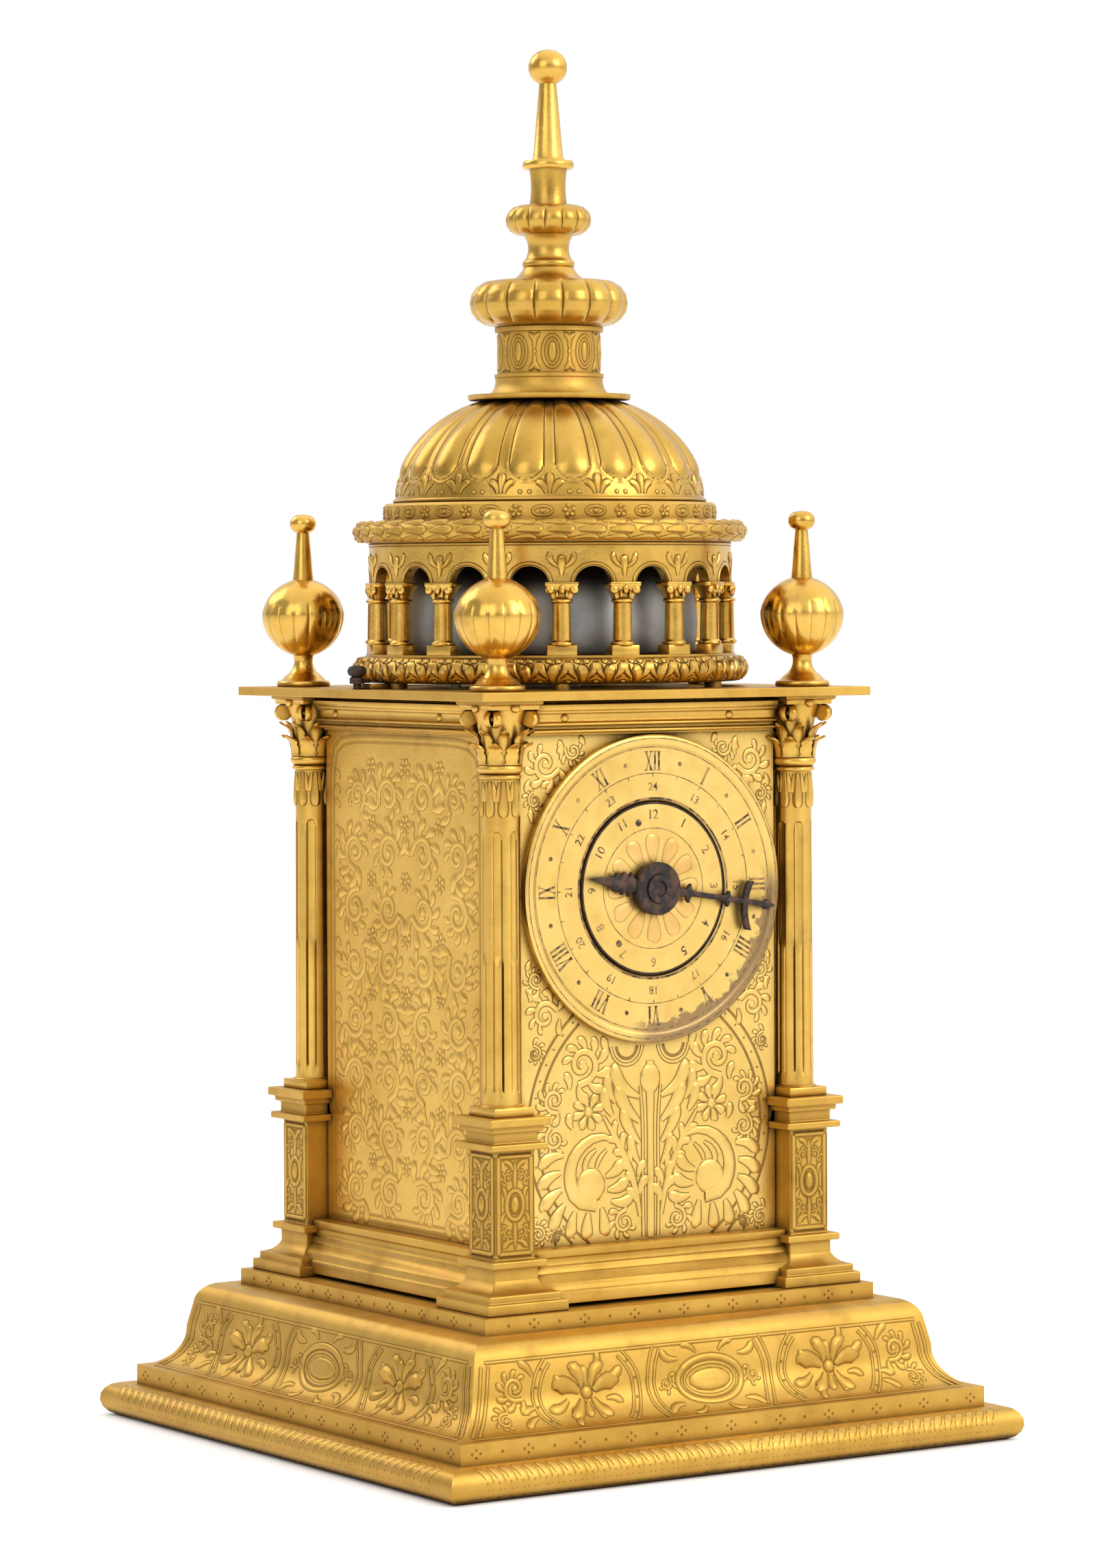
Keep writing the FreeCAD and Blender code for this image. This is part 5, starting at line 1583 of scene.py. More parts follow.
    def necking_on(self, shaft: Shape) -> None:
        """Hang the leaves under the double ring.

        Args:
            shaft: the column.
        """
        sheet = Chasing(0.5, 0.2)
        around = TURN * 4.1
        leaves = 8
        for i in range(leaves):
            u = around * (i + 0.5) / leaves
            sheet.lobe((u, 8.6), (u, 0.6), 0.0, 1.05)
            for hand in HANDS:
                sheet.lobe((u + hand * 0.9, 8.4), (u + hand * 1.35, 4.0), 0.0, 0.55)
        rail = Rail([(4.1, self.neck - 9.4), (4.1, self.neck - 0.4)])
        shaft.add(sheet.shape().laid(rail.around(4.1)))

    def capital_on(self, shaft: Shape) -> None:
        """Set the leaves, volutes and abacus of the capital.

        Args:
            shaft: the column.
        """
        foot = self.neck + 2.8
        for row, (count, height, reach, wide) in enumerate(((8, 6.2, 5.9, 1.85), (8, 9.8, 6.5, 1.8))):
            blade = self.blade(height, 4.1, reach, wide)
            for i in range(count):
                shaft.add(blade, Matrix.Translation((0, 0, foot)) @ turned(TURN * (i + row / 2) / count))
        volute = Shape.lathe(profile((0, -0.8), (1.7, -0.8), ((2.0, 0), (1.7, 0.8)), (1.15, 0.4), (0.65, 0.4),
                                     ((0.45, 0.9), (0, 1.05))), 20)
        for i in range(4):
            turn = turned(TURN * (i + 0.5) / 4)
            for hand in HANDS:
                tilt = Matrix.Rotation(radians(90), 4, "X") @ Matrix.Scale(hand, 4, (0, 0, 1))
                place = Matrix.Translation((7.0, hand * 0.6, self.head - 4.0))
                shaft.add(volute.copy(turn @ place @ turned(hand * 0.4) @ tilt).clean())
        abacus = Shape.squared(profile((0, 0), (6.3, 0), (6.3, 0.5), ((6.6, 1.0), (7.0, 1.2)), (7.0, 2.0),
                                       (0, 2.0)))
        shaft.add(abacus, Matrix.Translation((0, 0, self.head - 2)))
        for i in range(4):
            boss = Shape.ball((6.4, 0, self.head - 1.6), (0.8, 1.2, 1.1))
            shaft.add(boss, turned(TURN * i / 4))

    def blade(self, height: float, root: float, reach: float, wide: float) -> Shape:
        """A leaf that rises from a core and curls out at its tip.

        Args:
            height: its height.
            root: the core's radius.
            reach: the radius that it leans out to.
            wide: its half width.

        Returns:
            The leaf.
        """
        leaf = Shape()
        bmesh.ops.create_grid(leaf.bm, x_segments=4, y_segments=9, size=1)

        def bend(point: Vector) -> Vector:
            """Shape the flat grid: narrow tip, raised midrib, scalloped edge.

            Args:
                point: a point of the grid.

            Returns:
                Its new place.
            """
            along = (point.y + 1) / 2
            half = wide * sqrt(max(0.02, 1 - along ** 2.6)) * (0.84 + 0.16 * cos(along * 22))
            curl = ease(0.55, 1.0, along)
            out = root + 0.25 + (reach - root) * along ** 2 + curl * 0.9 + 0.35 * (1 - abs(point.x))
            return Vector((out, point.x * half, height * (along - curl * 0.2 * along)))

        leaf.shift(bend)
        bmesh.ops.recalc_face_normals(leaf.bm, faces=leaf.bm.faces[:])
        bmesh.ops.solidify(leaf.bm, geom=leaf.bm.faces[:], thickness=0.4)
        return leaf


@dataclass
class Finials:
    """The four urns on the top plate."""

    axis: float = 41.8
    level: float = 172.0
    lobes: int = 16

    def build(self) -> None:
        """Make the four urns."""
        for corner in Corner:
            across, deep = corner.value
            urn = self.urn().at(across * self.axis, deep * self.axis, self.level)
            urn.stand_in(f"finial_{corner.tag}", TURNED_GILT)

    def urn(self) -> Shape:
        """An urn on its own axis, with flutes below and leaf lobes on its shoulder.

        Returns:
            The urn.
        """
        outline = profile((0, -2), (1.5, -2), (1.5, 0), (6, 0), ((6.25, 0.65), (6, 1.3)), (5.2, 1.5),
                          (4.2, 2.6))
        outline += arc((4.2, 2.6), (2.4, 4.7), (2.4, 7.3), 10)
        outline += arc((2.4, 7.3), (8.26, 11.9), (9.6, 17.2), 22)
        outline += arc((9.6, 17.2), (7.4, 21.8), (2.4, 25), 22)
        outline += [(2.2, 27), (1.9, 31), (1.45, 36)]
        outline += arc((1.45, 36), (3.1, 38.15), (0.6, 40.3), 10) + [(0, 40.4)]
        return Shape.lathe(outline, self.lobes * 10).press(self.lobed)

    def lobed(self, point: Vector) -> tuple[Vector, float]:
        """A point of the urn with its flutes and leaves pressed, and how dark it is there.

        Args:
            point: a point of the plain urn.

        Returns:
            Its new place and its darkness.
        """
        reach = hypot(point.x, point.y)
        if reach < 0.5 or not 7.2 < point.z < 25:
            return point, 0.0
        turn = atan2(point.y, point.x)
        wave = abs(sin(turn * self.lobes / 2))
        leaf = abs(sin(turn * self.lobes / 4))
        scallop = 18.6 + 1.5 * sqrt(leaf)
        below = ease(8.4, 10.0, point.z) * (1 - ease(scallop - 0.9, scallop - 0.2, point.z))
        above = ease(scallop - 0.4, scallop + 0.3, point.z) * (1 - ease(22.4, 24.6, point.z))
        depth = -0.028 * (1 - sqrt(wave)) * below - 0.02 * (1 - sqrt(leaf)) * above
        depth += 0.012 * above
        dark = 0.85 * below * (wave < 0.1) + 0.6 * above * (leaf < 0.06)
        scale = 1 + depth
        return Vector((point.x * scale, point.y * scale, point.z)), dark


@dataclass
class Gallery:
    """The open ring that holds the bell: base, arcade of eighteen round arches, cornice."""

    radius: float = 42.0
    inner: float = 39.6
    base: float = 173.0
    sill: float = 179.2
    impost: float = 195.6
    spring: float = 196.0
    top: float = 205.6
    bays: int = 18
    head: float = 4.35
    rise: float = 3.85

    @property
    def half(self) -> float:
        """Half the width of a bay, on the outer radius."""
        return pi * self.radius / self.bays

    def build(self) -> None:
        """Make the three rings."""
        self.base_ring()
        self.arcade()
        self.cornice()

    def base_ring(self) -> None:
        """Make the leafy base with its feet and lug."""
        high = self.sill - self.base
        torus = profile((43.4, 0.3), ((45.5, high * 0.52), (43.6, high)))
        ring = Shape.lathe([*torus, (self.inner, high), (self.inner, 0.3)], 144, closed=True)
        for i in range(6):
            foot = Shape.lathe([(0, -1), (2, -1), (2, 0.8), (0, 0.8)], 24)
            spot = polar(41.5, TURN * i / 6)
            ring.add(foot, Matrix.Translation((spot.x, spot.y, 0)))
        ring.add(Shape.box((-48.3, 1, -1), (-40.6, 7, 0.2)).soften(0.25))
        sheet = Chasing(0.55, 0.28)
        rail = Rail(torus)
        count = 44
        pitch = TURN * self.radius / count
        for i in range(count):
            u = i * pitch
            hand = 1 if i % 2 else -1
            sheet.lobe((u, rail.length * 0.06), (u + hand * 0.8, rail.length * 0.66), hand * 0.15, 1.15)
            for side in HANDS:
                root, tip = (u + side * 1.1, rail.length * 0.3), (u + side * 2.3, rail.length * 0.8)
                sheet.lobe(root, tip, -side * 0.2, 0.8)
                sheet.boss((u + side * 1.0, rail.length * 0.84), 0.75, rounds=1)
            sheet.boss((u + pitch / 2, rail.length * 0.16), 0.7, 0.5, 1)
        ring.add(sheet.shape().laid(rail.around(self.radius)))
        ring.at(0, 0, self.base).stand_in("gallery_base", DUSKY_GILT)

    def arcade(self) -> None:
        """Make one bay, bend it round the gallery and repeat it, then set the posts."""
        bay = self.arch()
        bay.add(self.arch_mouldings())
        bay.laid(Rail([(self.radius, 0), (self.radius, 300)]).around(self.radius))
        post = self.post()
        work = Shape()
        for i in range(self.bays):
            work.add(bay, turned(TURN * i / self.bays - pi / 2))
            turn = turned(TURN * (i + 0.5) / self.bays - pi / 2)
            work.add(post, turn @ Matrix.Translation((40.7, 0, 0)))
        work.add(Shape.washer((self.inner, self.radius + 0.9), (self.sill - 0.2, self.sill + 0.5)))
        work.piece("gallery_arcade", TURNED_GILT,
                   replaces=("gallery_sill", "gallery_piers_left", "gallery_piers_right", "gallery_arches"))

    def arch(self) -> Shape:
        """A flat bay: the wall over one round arch.

        Returns:
            The wall.
        """
        angles = [pi * (1 - i / 18) for i in range(19)]
        curve = [(self.head * cos(a), self.spring + self.rise * sin(a)) for a in angles]
        hole = [(-self.head, self.impost), *curve, (self.head, self.impost)]
        climb = [(-self.half, self.impost), (-self.half, 198), (-self.half, 202), (-self.half, self.top)]
        across = [(-self.half + 2 * self.half * i / 14, self.top) for i in range(1, 14)]
        rim = climb + across + [(-x, y) for x, y in reversed(climb)]
        wall = Shape()
        for line in (hole, rim):
            wall.chain([(x, y, 0) for x, y in line])
        bmesh.ops.bridge_loops(wall.bm, edges=wall.bm.edges[:])
        return wall.thicken(self.inner - self.radius)

    def arch_mouldings(self) -> Shape:
        """The moulded line round an arch and the leaves between two arches, flat.

        Returns:
            The relief.
        """
        sheet = Chasing(0.6, 0.16)
        sheet.bow((0, self.spring), self.head + 0.62, 182, -2, 0.34, 16, 0.9)
        sheet.lobe((self.half, 197.6), (self.half, 202.4), 0.0, 0.85)
        for hand in HANDS:
            sheet.lobe((self.half + hand * 0.7, 199.6), (self.half + hand * 2.6, 202.9), -hand * 0.2, 0.6)
        sheet.bar((-self.half, 204.9), (self.half, 204.9), 0.3, 6)
        return sheet.shape()

    def post(self) -> Shape:
        """A round shaft on a block, with a flaring capital.

        Returns:
            The post.
        """
        outline = profile((0, 181.9), (2.55, 181.9), ((2.75, 182.3), (2.5, 182.8)), (2.2, 183.1),
                          (2.05, 191.4), (2.35, 191.6), ((2.55, 191.9), (2.35, 192.3)), (2.1, 192.5),
                          (0, 192.5))
        post = Shape.lathe(outline, 24)
        post.add(Shape.box((-1.9, -3.4, 179.2), (1.9, 3.4, 182.0)).soften(0.2))
        flare = Shape.squared([(0, 192.3), (2.1, 192.3), (2.3, 192.8), (2.9, 194.2), (3.6, 195.2),
                               (3.75, 195.5), (3.75, 196.2), (0, 196.2)]).soften(0.15)
        post.add(flare, Matrix.Scale(0.56, 4, (1, 0, 0)))
        for hand in HANDS:
            post.add(Shape.ball((1.55, hand * 2.7, 194.5), (0.8, 1.15, 1.15)))
            post.add(Shape.ball((1.7, hand * 1.1, 193.6), (0.6, 0.55, 1.0), 1))
        return post.add(Shape.ball((1.9, 0, 194.6), (0.6, 0.7, 1.2)))

    def cornice(self) -> None:
        """Make the leafy cornice with its stepped band of dots."""
        torus = profile((43.0, 0), ((45.6, 2.3), (43.0, 4.6)))
        wall = 38.6
        band = [(wall, 5.0), (wall, 8.3)]
        ring = Shape.lathe([(34, 0), *torus, (39.2, 4.6), *band, (38.0, 8.9), (34, 8.9)], 144, closed=True)
        sheet = Chasing(0.42, 0.2)
        rail = Rail(torus)
        count = 40
        pitch = TURN * self.radius / count
        for i in range(count):
            u = i * pitch
            for share, lead in ((0.2, 0.0), (0.5, 1.4), (0.8, 0.0)):
                level = rail.length * share
                sheet.lobe((u + lead, level), (u + lead + pitch * 0.82, level), 0.06, 1.0)
            if i % 4 == 0:
                sheet.bar((u, 0.4), (u + 1.4, rail.length - 0.4), 0.42, 4)
        ring.add(sheet.shape().laid(rail.around(self.radius)))
        sheet = Chasing(0.45, 0.2)
        pitch = TURN * wall / count
        for i in range(count):
            u = i * pitch
            if i % 2:
                sheet.flower((u, 1.7), 1.45, 5, 0.3)
            else:
                sheet.oval((u, 1.7), 2.3, 1.1, 0.26)
                sheet.boss((u, 1.7), 0.7, 0.45, 1)
        ring.add(sheet.shape().laid(Rail(band).around(wall)))
        ring.at(0, 0, self.top).stand_in("gallery_cornice", CHASED_GILT)


@dataclass
class Dome:
    """The dome over the gallery, pressed with swelling petals."""

    level: float = 214.5
    petals: int = 20
    phase: float = radians(11.4)
    tip: float = 4.8
    columns: int = 640
    rows: int = 92

    def build(self) -> None:
        """Make the shell with its petals and the chased band under them."""
        side = Rail([(36, 0), *arc((36, 0), (28.1, 16.6), (10, 24), 60)])
        shell = Shape()
        bmesh.ops.create_grid(shell.bm, x_segments=self.columns, y_segments=self.rows, size=0.5)
        shell.press(lambda flat: self.pressed(flat, side)).clean()
        under = arc((34, 0), (26.6, 15.1), (9.2, 22), 24)
        shell.add(Shape.lathe([(36, 0), (34, 0), *under, (1.65, 22), (1.65, 24), (10, 24)], 128))
        sheet = Chasing(0.5, 0.2)
        pitch = TURN * 34 / self.petals
        for i in range(self.petals):
            u = (i + 0.5) * pitch + self.phase * 34
            sheet.lobe((u, 1.9), (u, 6.6), 0.0, 0.85)
            for hand in HANDS:
                sheet.lobe((u + hand * 0.7, 1.7), (u + hand * 3.2, 4.4), hand * 0.25, 0.75)
                sheet.boss((u + hand * 4.3, 2.2), 0.5, rounds=1)
        shell.add(sheet.shape().laid(side.around(34)))
        for radius, height in ((35.9, 0.6), (10.6, 23.6)):
            spokes = [polar(0.55, TURN * i / 10) for i in range(10)]
            bead = [(radius + spoke.x, height + spoke.y) for spoke in spokes]
            shell.add(Shape.lathe(bead, 128, closed=True))
        shell.at(0, 0, self.level).stand_in("dome", DOME_GILT)

    def pressed(self, flat: Vector, side: Rail) -> tuple[Vector, float]:
        """Where a place of the flat grid comes to lie on the pressed skin, and how dark it is there.

        Args:
            flat: the place.
            side: the dome's profile.

        Returns:
            Its new place and its darkness.
        """
        rise = (flat.y + 0.5) * side.length
        spot, normal = side.at(rise)
        pitch = TURN * spot.x / self.petals
        half = pitch * 0.41
        turn = (flat.x + 0.5) * self.petals
        across = (turn - round(turn)) * pitch
        foot = rise - self.tip
        inside = half - (abs(across) if foot > half else hypot(across, half - foot))
        fade = 1 - ease(side.length - 2.4, side.length - 1.0, rise)
        swell = 0.95 - 0.45 * ease(4, 20, foot)
        lift = swell * sqrt(ease(0.3, half, inside)) + 0.16 * exp(-((inside + 0.12) / 0.26) ** 2)
        lift -= 0.2 * exp(-((inside - 0.42) / 0.22) ** 2)
        dark = exp(-((inside - 0.42) / 0.26) ** 2) + 0.8 * exp(-((inside + 0.6) / 0.2) ** 2)
        place = spot + normal * lift * fade
        around = polar(place.x, (flat.x + 0.5) * TURN + self.phase)
        return Vector((around.x, around.y, place.y)), min(1.0, dark) * fade


@dataclass
class Spire:
    """What stands on the dome: lantern, two gadrooned knops and the tapered spire."""

    lantern_level: float = 238.5
    large_level: float = 255.3
    small_level: float = 269.3
    spire_level: float = 292.2

    def build(self) -> None:
        """Make the four turned pieces."""
        self.lantern()
        self.knop("large_knop", self.large_level, 16, (0.2, 11.2), 0.06, profile(
            (0, 0), (12.4, 0), (12.9, 0.4), ((18.4, 5.5), (12.9, 11)), ((6.9, 12.35), (5.8, 14)), (0, 14)))
        self.knop("small_knop", self.small_level, 14, (7.4, 14.2), 0.07, profile(
            (0, 0), (5.8, 0), ((6.1, 0.9), (5.5, 1.8)), ((4.75, 4.4), (5.8, 7.6)), ((10, 10.9), (5.2, 14.2)),
            (4.4, 14.4), ((4.05, 18.6), (4.4, 22.9)), (0, 22.9)))
        outline = profile((0, 0), (5.6, 0), ((6.0, 0.95), (5.6, 1.9)), (3.9, 2.1), (3.5, 2.8), (2.0, 19.8),
                          ((4.55, 23.8), (0.9, 27.75)), (0, 27.9))
        Shape.lathe(outline, 64).at(0, 0, self.spire_level).stand_in("spire", TURNED_GILT)

    def lantern(self) -> None:
        """Make the flared drum with its row of ovals."""
        radius = 11.9
        wall = [(radius, 6.2), (radius, 15.6)]
        outline = profile((0, 0), (18.6, 0), (18.9, 0.4), (18.9, 1.2), ((13.3, 2.0), (12.5, 5.0)),
                          (12.7, 5.2), (12.7, 6.0), *wall, (12.6, 15.8), (12.6, 16.8), (0, 16.8))
        drum = Shape.lathe(outline, 96)
        sheet = Chasing(0.5, 0.2)
        count = 9
        belt = 4.7
        pitch = TURN * radius / count
        for i in range(count):
            u = i * pitch
            sheet.oval((u, belt), 2.3, 3.9, 0.32).oval((u, belt), 1.45, 3.0, 0.24)
            sheet.boss((u, belt), 0.85, 2.3, 2, 0.3)
            middle = u + pitch / 2
            for up in (-1, 1):
                for hand in HANDS:
                    tip = (middle + hand * 1.45, belt + up * 4.1)
                    sheet.lobe((middle, belt + up * 0.5), tip, hand * up * 0.2, 0.5)
                sheet.leaf((middle, belt + up * 1.8), (middle, belt + up * 4.3), 0.0, 0.4)
            sheet.boss((middle, belt), 0.55, rounds=1)
        drum.add(sheet.shape().laid(Rail(wall).around(radius)))
        drum.at(0, 0, self.lantern_level).stand_in("lantern", CHASED_GILT)

    def knop(self, name: str, level: float, lobes: int, span: Flat, depth: float, outline: Outline) -> None:
        """Make a turned knop with gadroons over a span of its height.

        Args:
            name: its name, which is its node's name.
            level: where it stands.
            lobes: the number of gadroons.
            span: the heights between which they run.
            depth: their depth as a share of the radius.
            outline: the turned profile.
        """
        fine = [outline[0]]
        for before, after in zip(outline, outline[1:]):
            cuts = max(1, round((Vector(after) - Vector(before)).length / 0.7)) if before[0] * after[0] else 1
            fine += [tuple(Vector(before).lerp(Vector(after), i / cuts)) for i in range(1, cuts + 1)]

        def gadroon(point: Vector) -> tuple[Vector, float]:
            """A point with the grooves pressed between the lobes, and how dark it is there.

            Args:
                point: a point of the plain knop.

            Returns:
                Its new place and its darkness.
            """
            reach = hypot(point.x, point.y)
            if reach < 1 or not span[0] < point.z < span[1]:
                return point, 0.0
            wave = abs(sin(atan2(point.y, point.x) * lobes / 2))
            ends = ease(span[0], span[0] + 1.6, point.z) * (1 - ease(span[1] - 1.6, span[1], point.z))
            scale = 1 - depth * (1 - sqrt(wave)) * ends
            return Vector((point.x * scale, point.y * scale, point.z)), 0.85 * ends * (wave < 0.08)

        knop = Shape.lathe(fine, lobes * 12).press(gadroon)
        knop.at(0, 0, level).stand_in(name, DOME_GILT)


@dataclass
class Bell:
    """The bell inside the gallery."""

    level: float = 180.0

    def build(self) -> None:
        """Make the bell's shell."""
        outer = profile((33.4, 0), (33.6, 0.6), ((30.4, 21), (10, 35)))
        hollow = arc((31.4, 0), (28.64, 19.7), (10, 32.8), 16)
        inner = [(2.05, 35), (2.05, 32.8), *reversed(hollow), (31.4, 0)]
        bell = Shape.lathe([*inner, *outer], 128, closed=True)
        bell.at(0, 0, self.level).stand_in("bell", BELL_GREY, slot="bell_metal")


class Figures(Enum):
    """The three rings of figures on the dial."""

    HOURS = "roman"
    LATER_HOURS = "later"
    ALARM = "alarm"


@dataclass
class Dial:
    """The dial ring, the alarm disc inside it and the hand."""

    level: float = 127.0
    radius: float = 34.75
    bore: float = 19.9
    back: float = 40.0
    front: float = 41.6
    rim: float = 2.6
    hour_ring: float = 28.8
    later_ring: float = 22.9
    alarm_ring: float = 16.6
    hand_angle: float = -8.8
    sunk: float = 0.1
    proud: float = 0.03

    @property
    def facing(self) -> Matrix:
        """Turns a sheet drawn flat to the front, with its middle at the dial's."""
        return Matrix.Translation((0, 0, self.level)) @ Matrix.Rotation(pi / 2, 4, "X")

    def build(self) -> None:
        """Make the ring, the disc and the hand."""
        self.ring()
        self.disc()
        self.hand()

    def rings(self, sizes: Sequence[float], height: float, width: float = 0.09) -> Shape:
        """Thin inlaid circles.

        Args:
            sizes: their radii.
            height: the face that they lie in.
            width: half a line's width.

        Returns:
            The circles.
        """
        lines = Shape()
        for size in sizes:
            lines.add(Shape.washer((size - width, size + width), (height - self.sunk, height + self.proud)))
        return lines

    def ring(self) -> None:
        """Make the dial ring with its raised rim, its lines, ticks and figures, and a wide dark ring of
        painted shadow by its bore.
        """
        edge = self.radius - self.rim
        face = self.front
        body = Shape.lathe([(self.bore, self.back), (self.radius, self.back), (self.radius, face + 0.25),
                            (self.radius - 0.35, face + 0.5), (edge + 0.7, face + 0.5),
                            (edge + 0.35, face + 0.3), (edge, face), (self.bore + 0.2, face),
                            (self.bore, face - 0.2)], 192, closed=True)
        body.placed(self.facing).stand_in("dial", DIAL_GILT)
        marks = self.rings((31.9, 26.0), self.front).add(self.rings((33.9,), self.front + 0.5))
        # A wide dark ring just outside the bore: painted shadow of the gap round the alarm disc.
        marks.add(self.rings((20.35,), self.front, 0.24))
        for i in range(24):
            angle = TURN * i / 24
            if i % 2:
                spot = polar(self.hour_ring, angle)
                marks.add(Shape.ball((spot.x, spot.y, self.front), (0.55, 0.55, 0.06), 2))
            bar = Shape.box((-0.1, 25.2, face - self.sunk), (0.1, 26.0, face + self.proud))
            marks.add(bar, turned(angle))
        for ring in (Figures.HOURS, Figures.LATER_HOURS):
            marks.add(self.figures(ring))
        marks.placed(self.facing).piece("dial_figures", WAX, slot="iron")

    def disc(self) -> None:
        """Make the alarm disc with its rosette, a dark ring of painted shadow at its edge, dark discs of
        painted shade for its setting holes, and its figures.
        """
        top = self.front
        body = Shape.lathe([(3.4, 40.4), (19.35, 40.4), (19.35, top - 0.2), (19.2, top), (3.4, top)], 144,
                           closed=True)
        body.placed(self.facing).stand_in("alarm_disc", DISC_GILT, body="alarm_disc")
        sheet = Chasing(0.1, 0.1)
        for i in range(12):
            angle = TURN * i / 12
            sheet.lobe(polar(5.8, angle), polar(12.2, angle), 0.03, 1.7)
        rosette = Shape().add(sheet.shape(), Matrix.Translation((0, 0, top)))
        rosette.placed(self.facing).piece("alarm_rosette", ROSETTE_GILT, body="alarm_disc")
        marks = self.rings((13.6,), top).add(self.figures(Figures.ALARM))
        # Dark discs for the two setting holes: painted shade of the holes.
        for angle in (105, 232):
            spot = polar(15.4, radians(angle))
            marks.add(Shape.ball((spot.x, spot.y, top), (0.85, 0.85, 0.06), 2))
        marks.placed(self.facing).piece("alarm_figures", WAX, body="alarm_disc", slot="iron")
        # A dark ring at the disc's edge: painted shadow of the gap between the disc and the dial's bore.
        gap = self.rings((19.22,), top, 0.2)
        gap.placed(self.facing).piece("alarm_gap_shadow", FORGED_IRON, body="alarm_disc", slot="iron")

    def figures(self, ring: Figures) -> Shape:
        """One ring of figures, each turned to stand on the middle.

        Args:
            ring: which ring.

        Returns:
            The figures.
        """
        done = Shape()
        for hour in range(1, 13):
            if ring is Figures.HOURS:
                radius, sign = self.hour_ring, self.roman(hour)
            elif ring is Figures.LATER_HOURS:
                radius, sign = self.later_ring, self.number(hour + 12, 2.6)
            else:
                radius, sign = self.alarm_ring, self.number(hour, 3.0)
            done.add(sign, turned(-TURN * hour / 12) @ Matrix.Translation((0, radius, self.front)))
        return done

    def roman(self, hour: int) -> Shape:
        """An hour in Roman figures, with heavy and light strokes and short serifs.

        Args:
            hour: from 1 to 12.

        Returns:
            The figures.
        """
        ones = ("", "I", "II", "III", "IIII", "V", "VI", "VII", "VIII", "IX")
        text = "X" * (hour // 10) + ones[hour % 10]
        wide = {"I": 1.1, "V": 2.3, "X": 2.3}
        half = 2.1
        cursor = -sum(wide[sign] for sign in text) / 2
        made = Shape()
        for sign in text:
            lean = wide[sign] / 2 - 0.45
            middle = cursor + wide[sign] / 2
            strokes = {"I": [(0, 0, 0.25)], "V": [(-lean, 0, 0.27), (lean, 0, 0.12)],
                       "X": [(-lean, lean, 0.27), (lean, -lean, 0.12)]}[sign]
            for above, below, thick in strokes:
                run = [(middle + above - thick, half), (middle + above + thick, half),
                       (middle + below + thick, -half), (middle + below - thick, -half)]
                made.add(Shape.plate(run, -self.sunk, self.proud))
                for end, level in ((above, half), (below, -half)):
                    serif = [(middle + end - 0.45, level - 0.09), (middle + end + 0.45, level - 0.09),
                             (middle + end + 0.45, level + 0.09), (middle + end - 0.45, level + 0.09)]
                    made.add(Shape.plate(serif, -self.sunk, 0.035))
            cursor += wide[sign]
        return made

    def number(self, value: int, size: float) -> Shape:
        """A number in plain figures, centred.

        Args:
            value: the number.
            size: the size of its type.

        Returns:
            The figures.
        """
        words = bpy.data.curves.new("figure", "FONT")
        words.body = str(value)
        words.size = size
        words.align_x = "CENTER"
        words.align_y = "CENTER"
        words.extrude = 0.06
        words.offset = 0.02
        words.resolution_u = 3
        return Shape.drawn(words).at(0, 0, -0.03).clean()

    def hand(self) -> None:
        """Make the iron hand: hub, thorned pointer with a curved cross and a spear tip, barbed tail."""
        def whole(edge: Outline) -> Outline:
            """A flat outline from its upper edge, which ends on the middle line."""
            return edge + [(x, -y) for x, y in reversed(edge[:-1])]

        low, high = 42.3, 43.9
        hub = Shape.lathe([(3.25, low), (5.8, low), (6.0, low + 0.3), (6.0, high - 0.1), (5.7, high + 0.2),
                           (3.9, high + 0.3), (3.25, high + 0.1)], 64, closed=True)
        pointer = [(5.4, 1.0), (7.8, 0.65), (8.3, 1.4), (8.9, 2.3), (9.1, 1.2), (9.6, 0.62), (18.6, 0.6),
                   (19.2, 1.2), (19.8, 1.9), (20.1, 1.0), (20.6, 0.6), (29.6, 0.6), (30.4, 1.25), (31.4, 0.7),
                   (33, 0)]
        hub.add(Shape.plate(whole(pointer), low + 0.1, high - 0.1).soften(0.22))
        cross = [(24.5 + 0.045 * y * y, y) for y in (-6.4, -4.6, -2.4, 0.0, 2.0, 3.6, 4.8)]
        outline = [(x - 0.75, y) for x, y in cross] + [(x + 0.75, y) for x, y in reversed(cross)]
        hub.add(Shape.plate(outline, low + 0.15, high - 0.15).soften(0.2))
        tail = [(-5.4, 1.2), (-6.6, 1.5), (-7.6, 2.9), (-8.2, 1.5), (-9.6, 2.7), (-10.2, 1.4), (-11.6, 2.2),
                (-12.2, 1.1), (-15.4, 0.75), (-18.6, 0)]
        hub.add(Shape.plate(whole(tail), low + 0.1, high - 0.2).soften(0.2))
        turn = turned(radians(self.hand_angle))
        hub.placed(self.facing @ turn)
        hub.stand_in("hour_hand", FORGED_IRON, body="hour_hand", slot="iron")


@dataclass
class Latch:
    """The iron turn-button that holds the gallery's foot."""

    x: float = -50.2
    y: float = 4.0
    plate: float = 172.0

    def build(self) -> None:
        """Make the knob, its stud and the toe."""
        knob = Shape.lathe(profile((0, -2.0), (0.9, -2.0), (0.9, 1.3), (1.7, 1.3), (1.7, 2.6), (1.2, 2.9),
                                   ((2.2, 4.0), (1.3, 5.3)), (0, 5.6)), 32)
        toe = Shape.plate([(0, -1.4), (2.4, -1.2), (3.2, -0.6), (3.2, 0.6), (2.4, 1.2), (0, 1.4)], 1.4, 2.5)
        knob.add(toe.soften(0.2)).at(self.x, self.y, self.plate)
        knob.stand_in("gallery_latch", FORGED_IRON, body="gallery_latch", slot="iron")


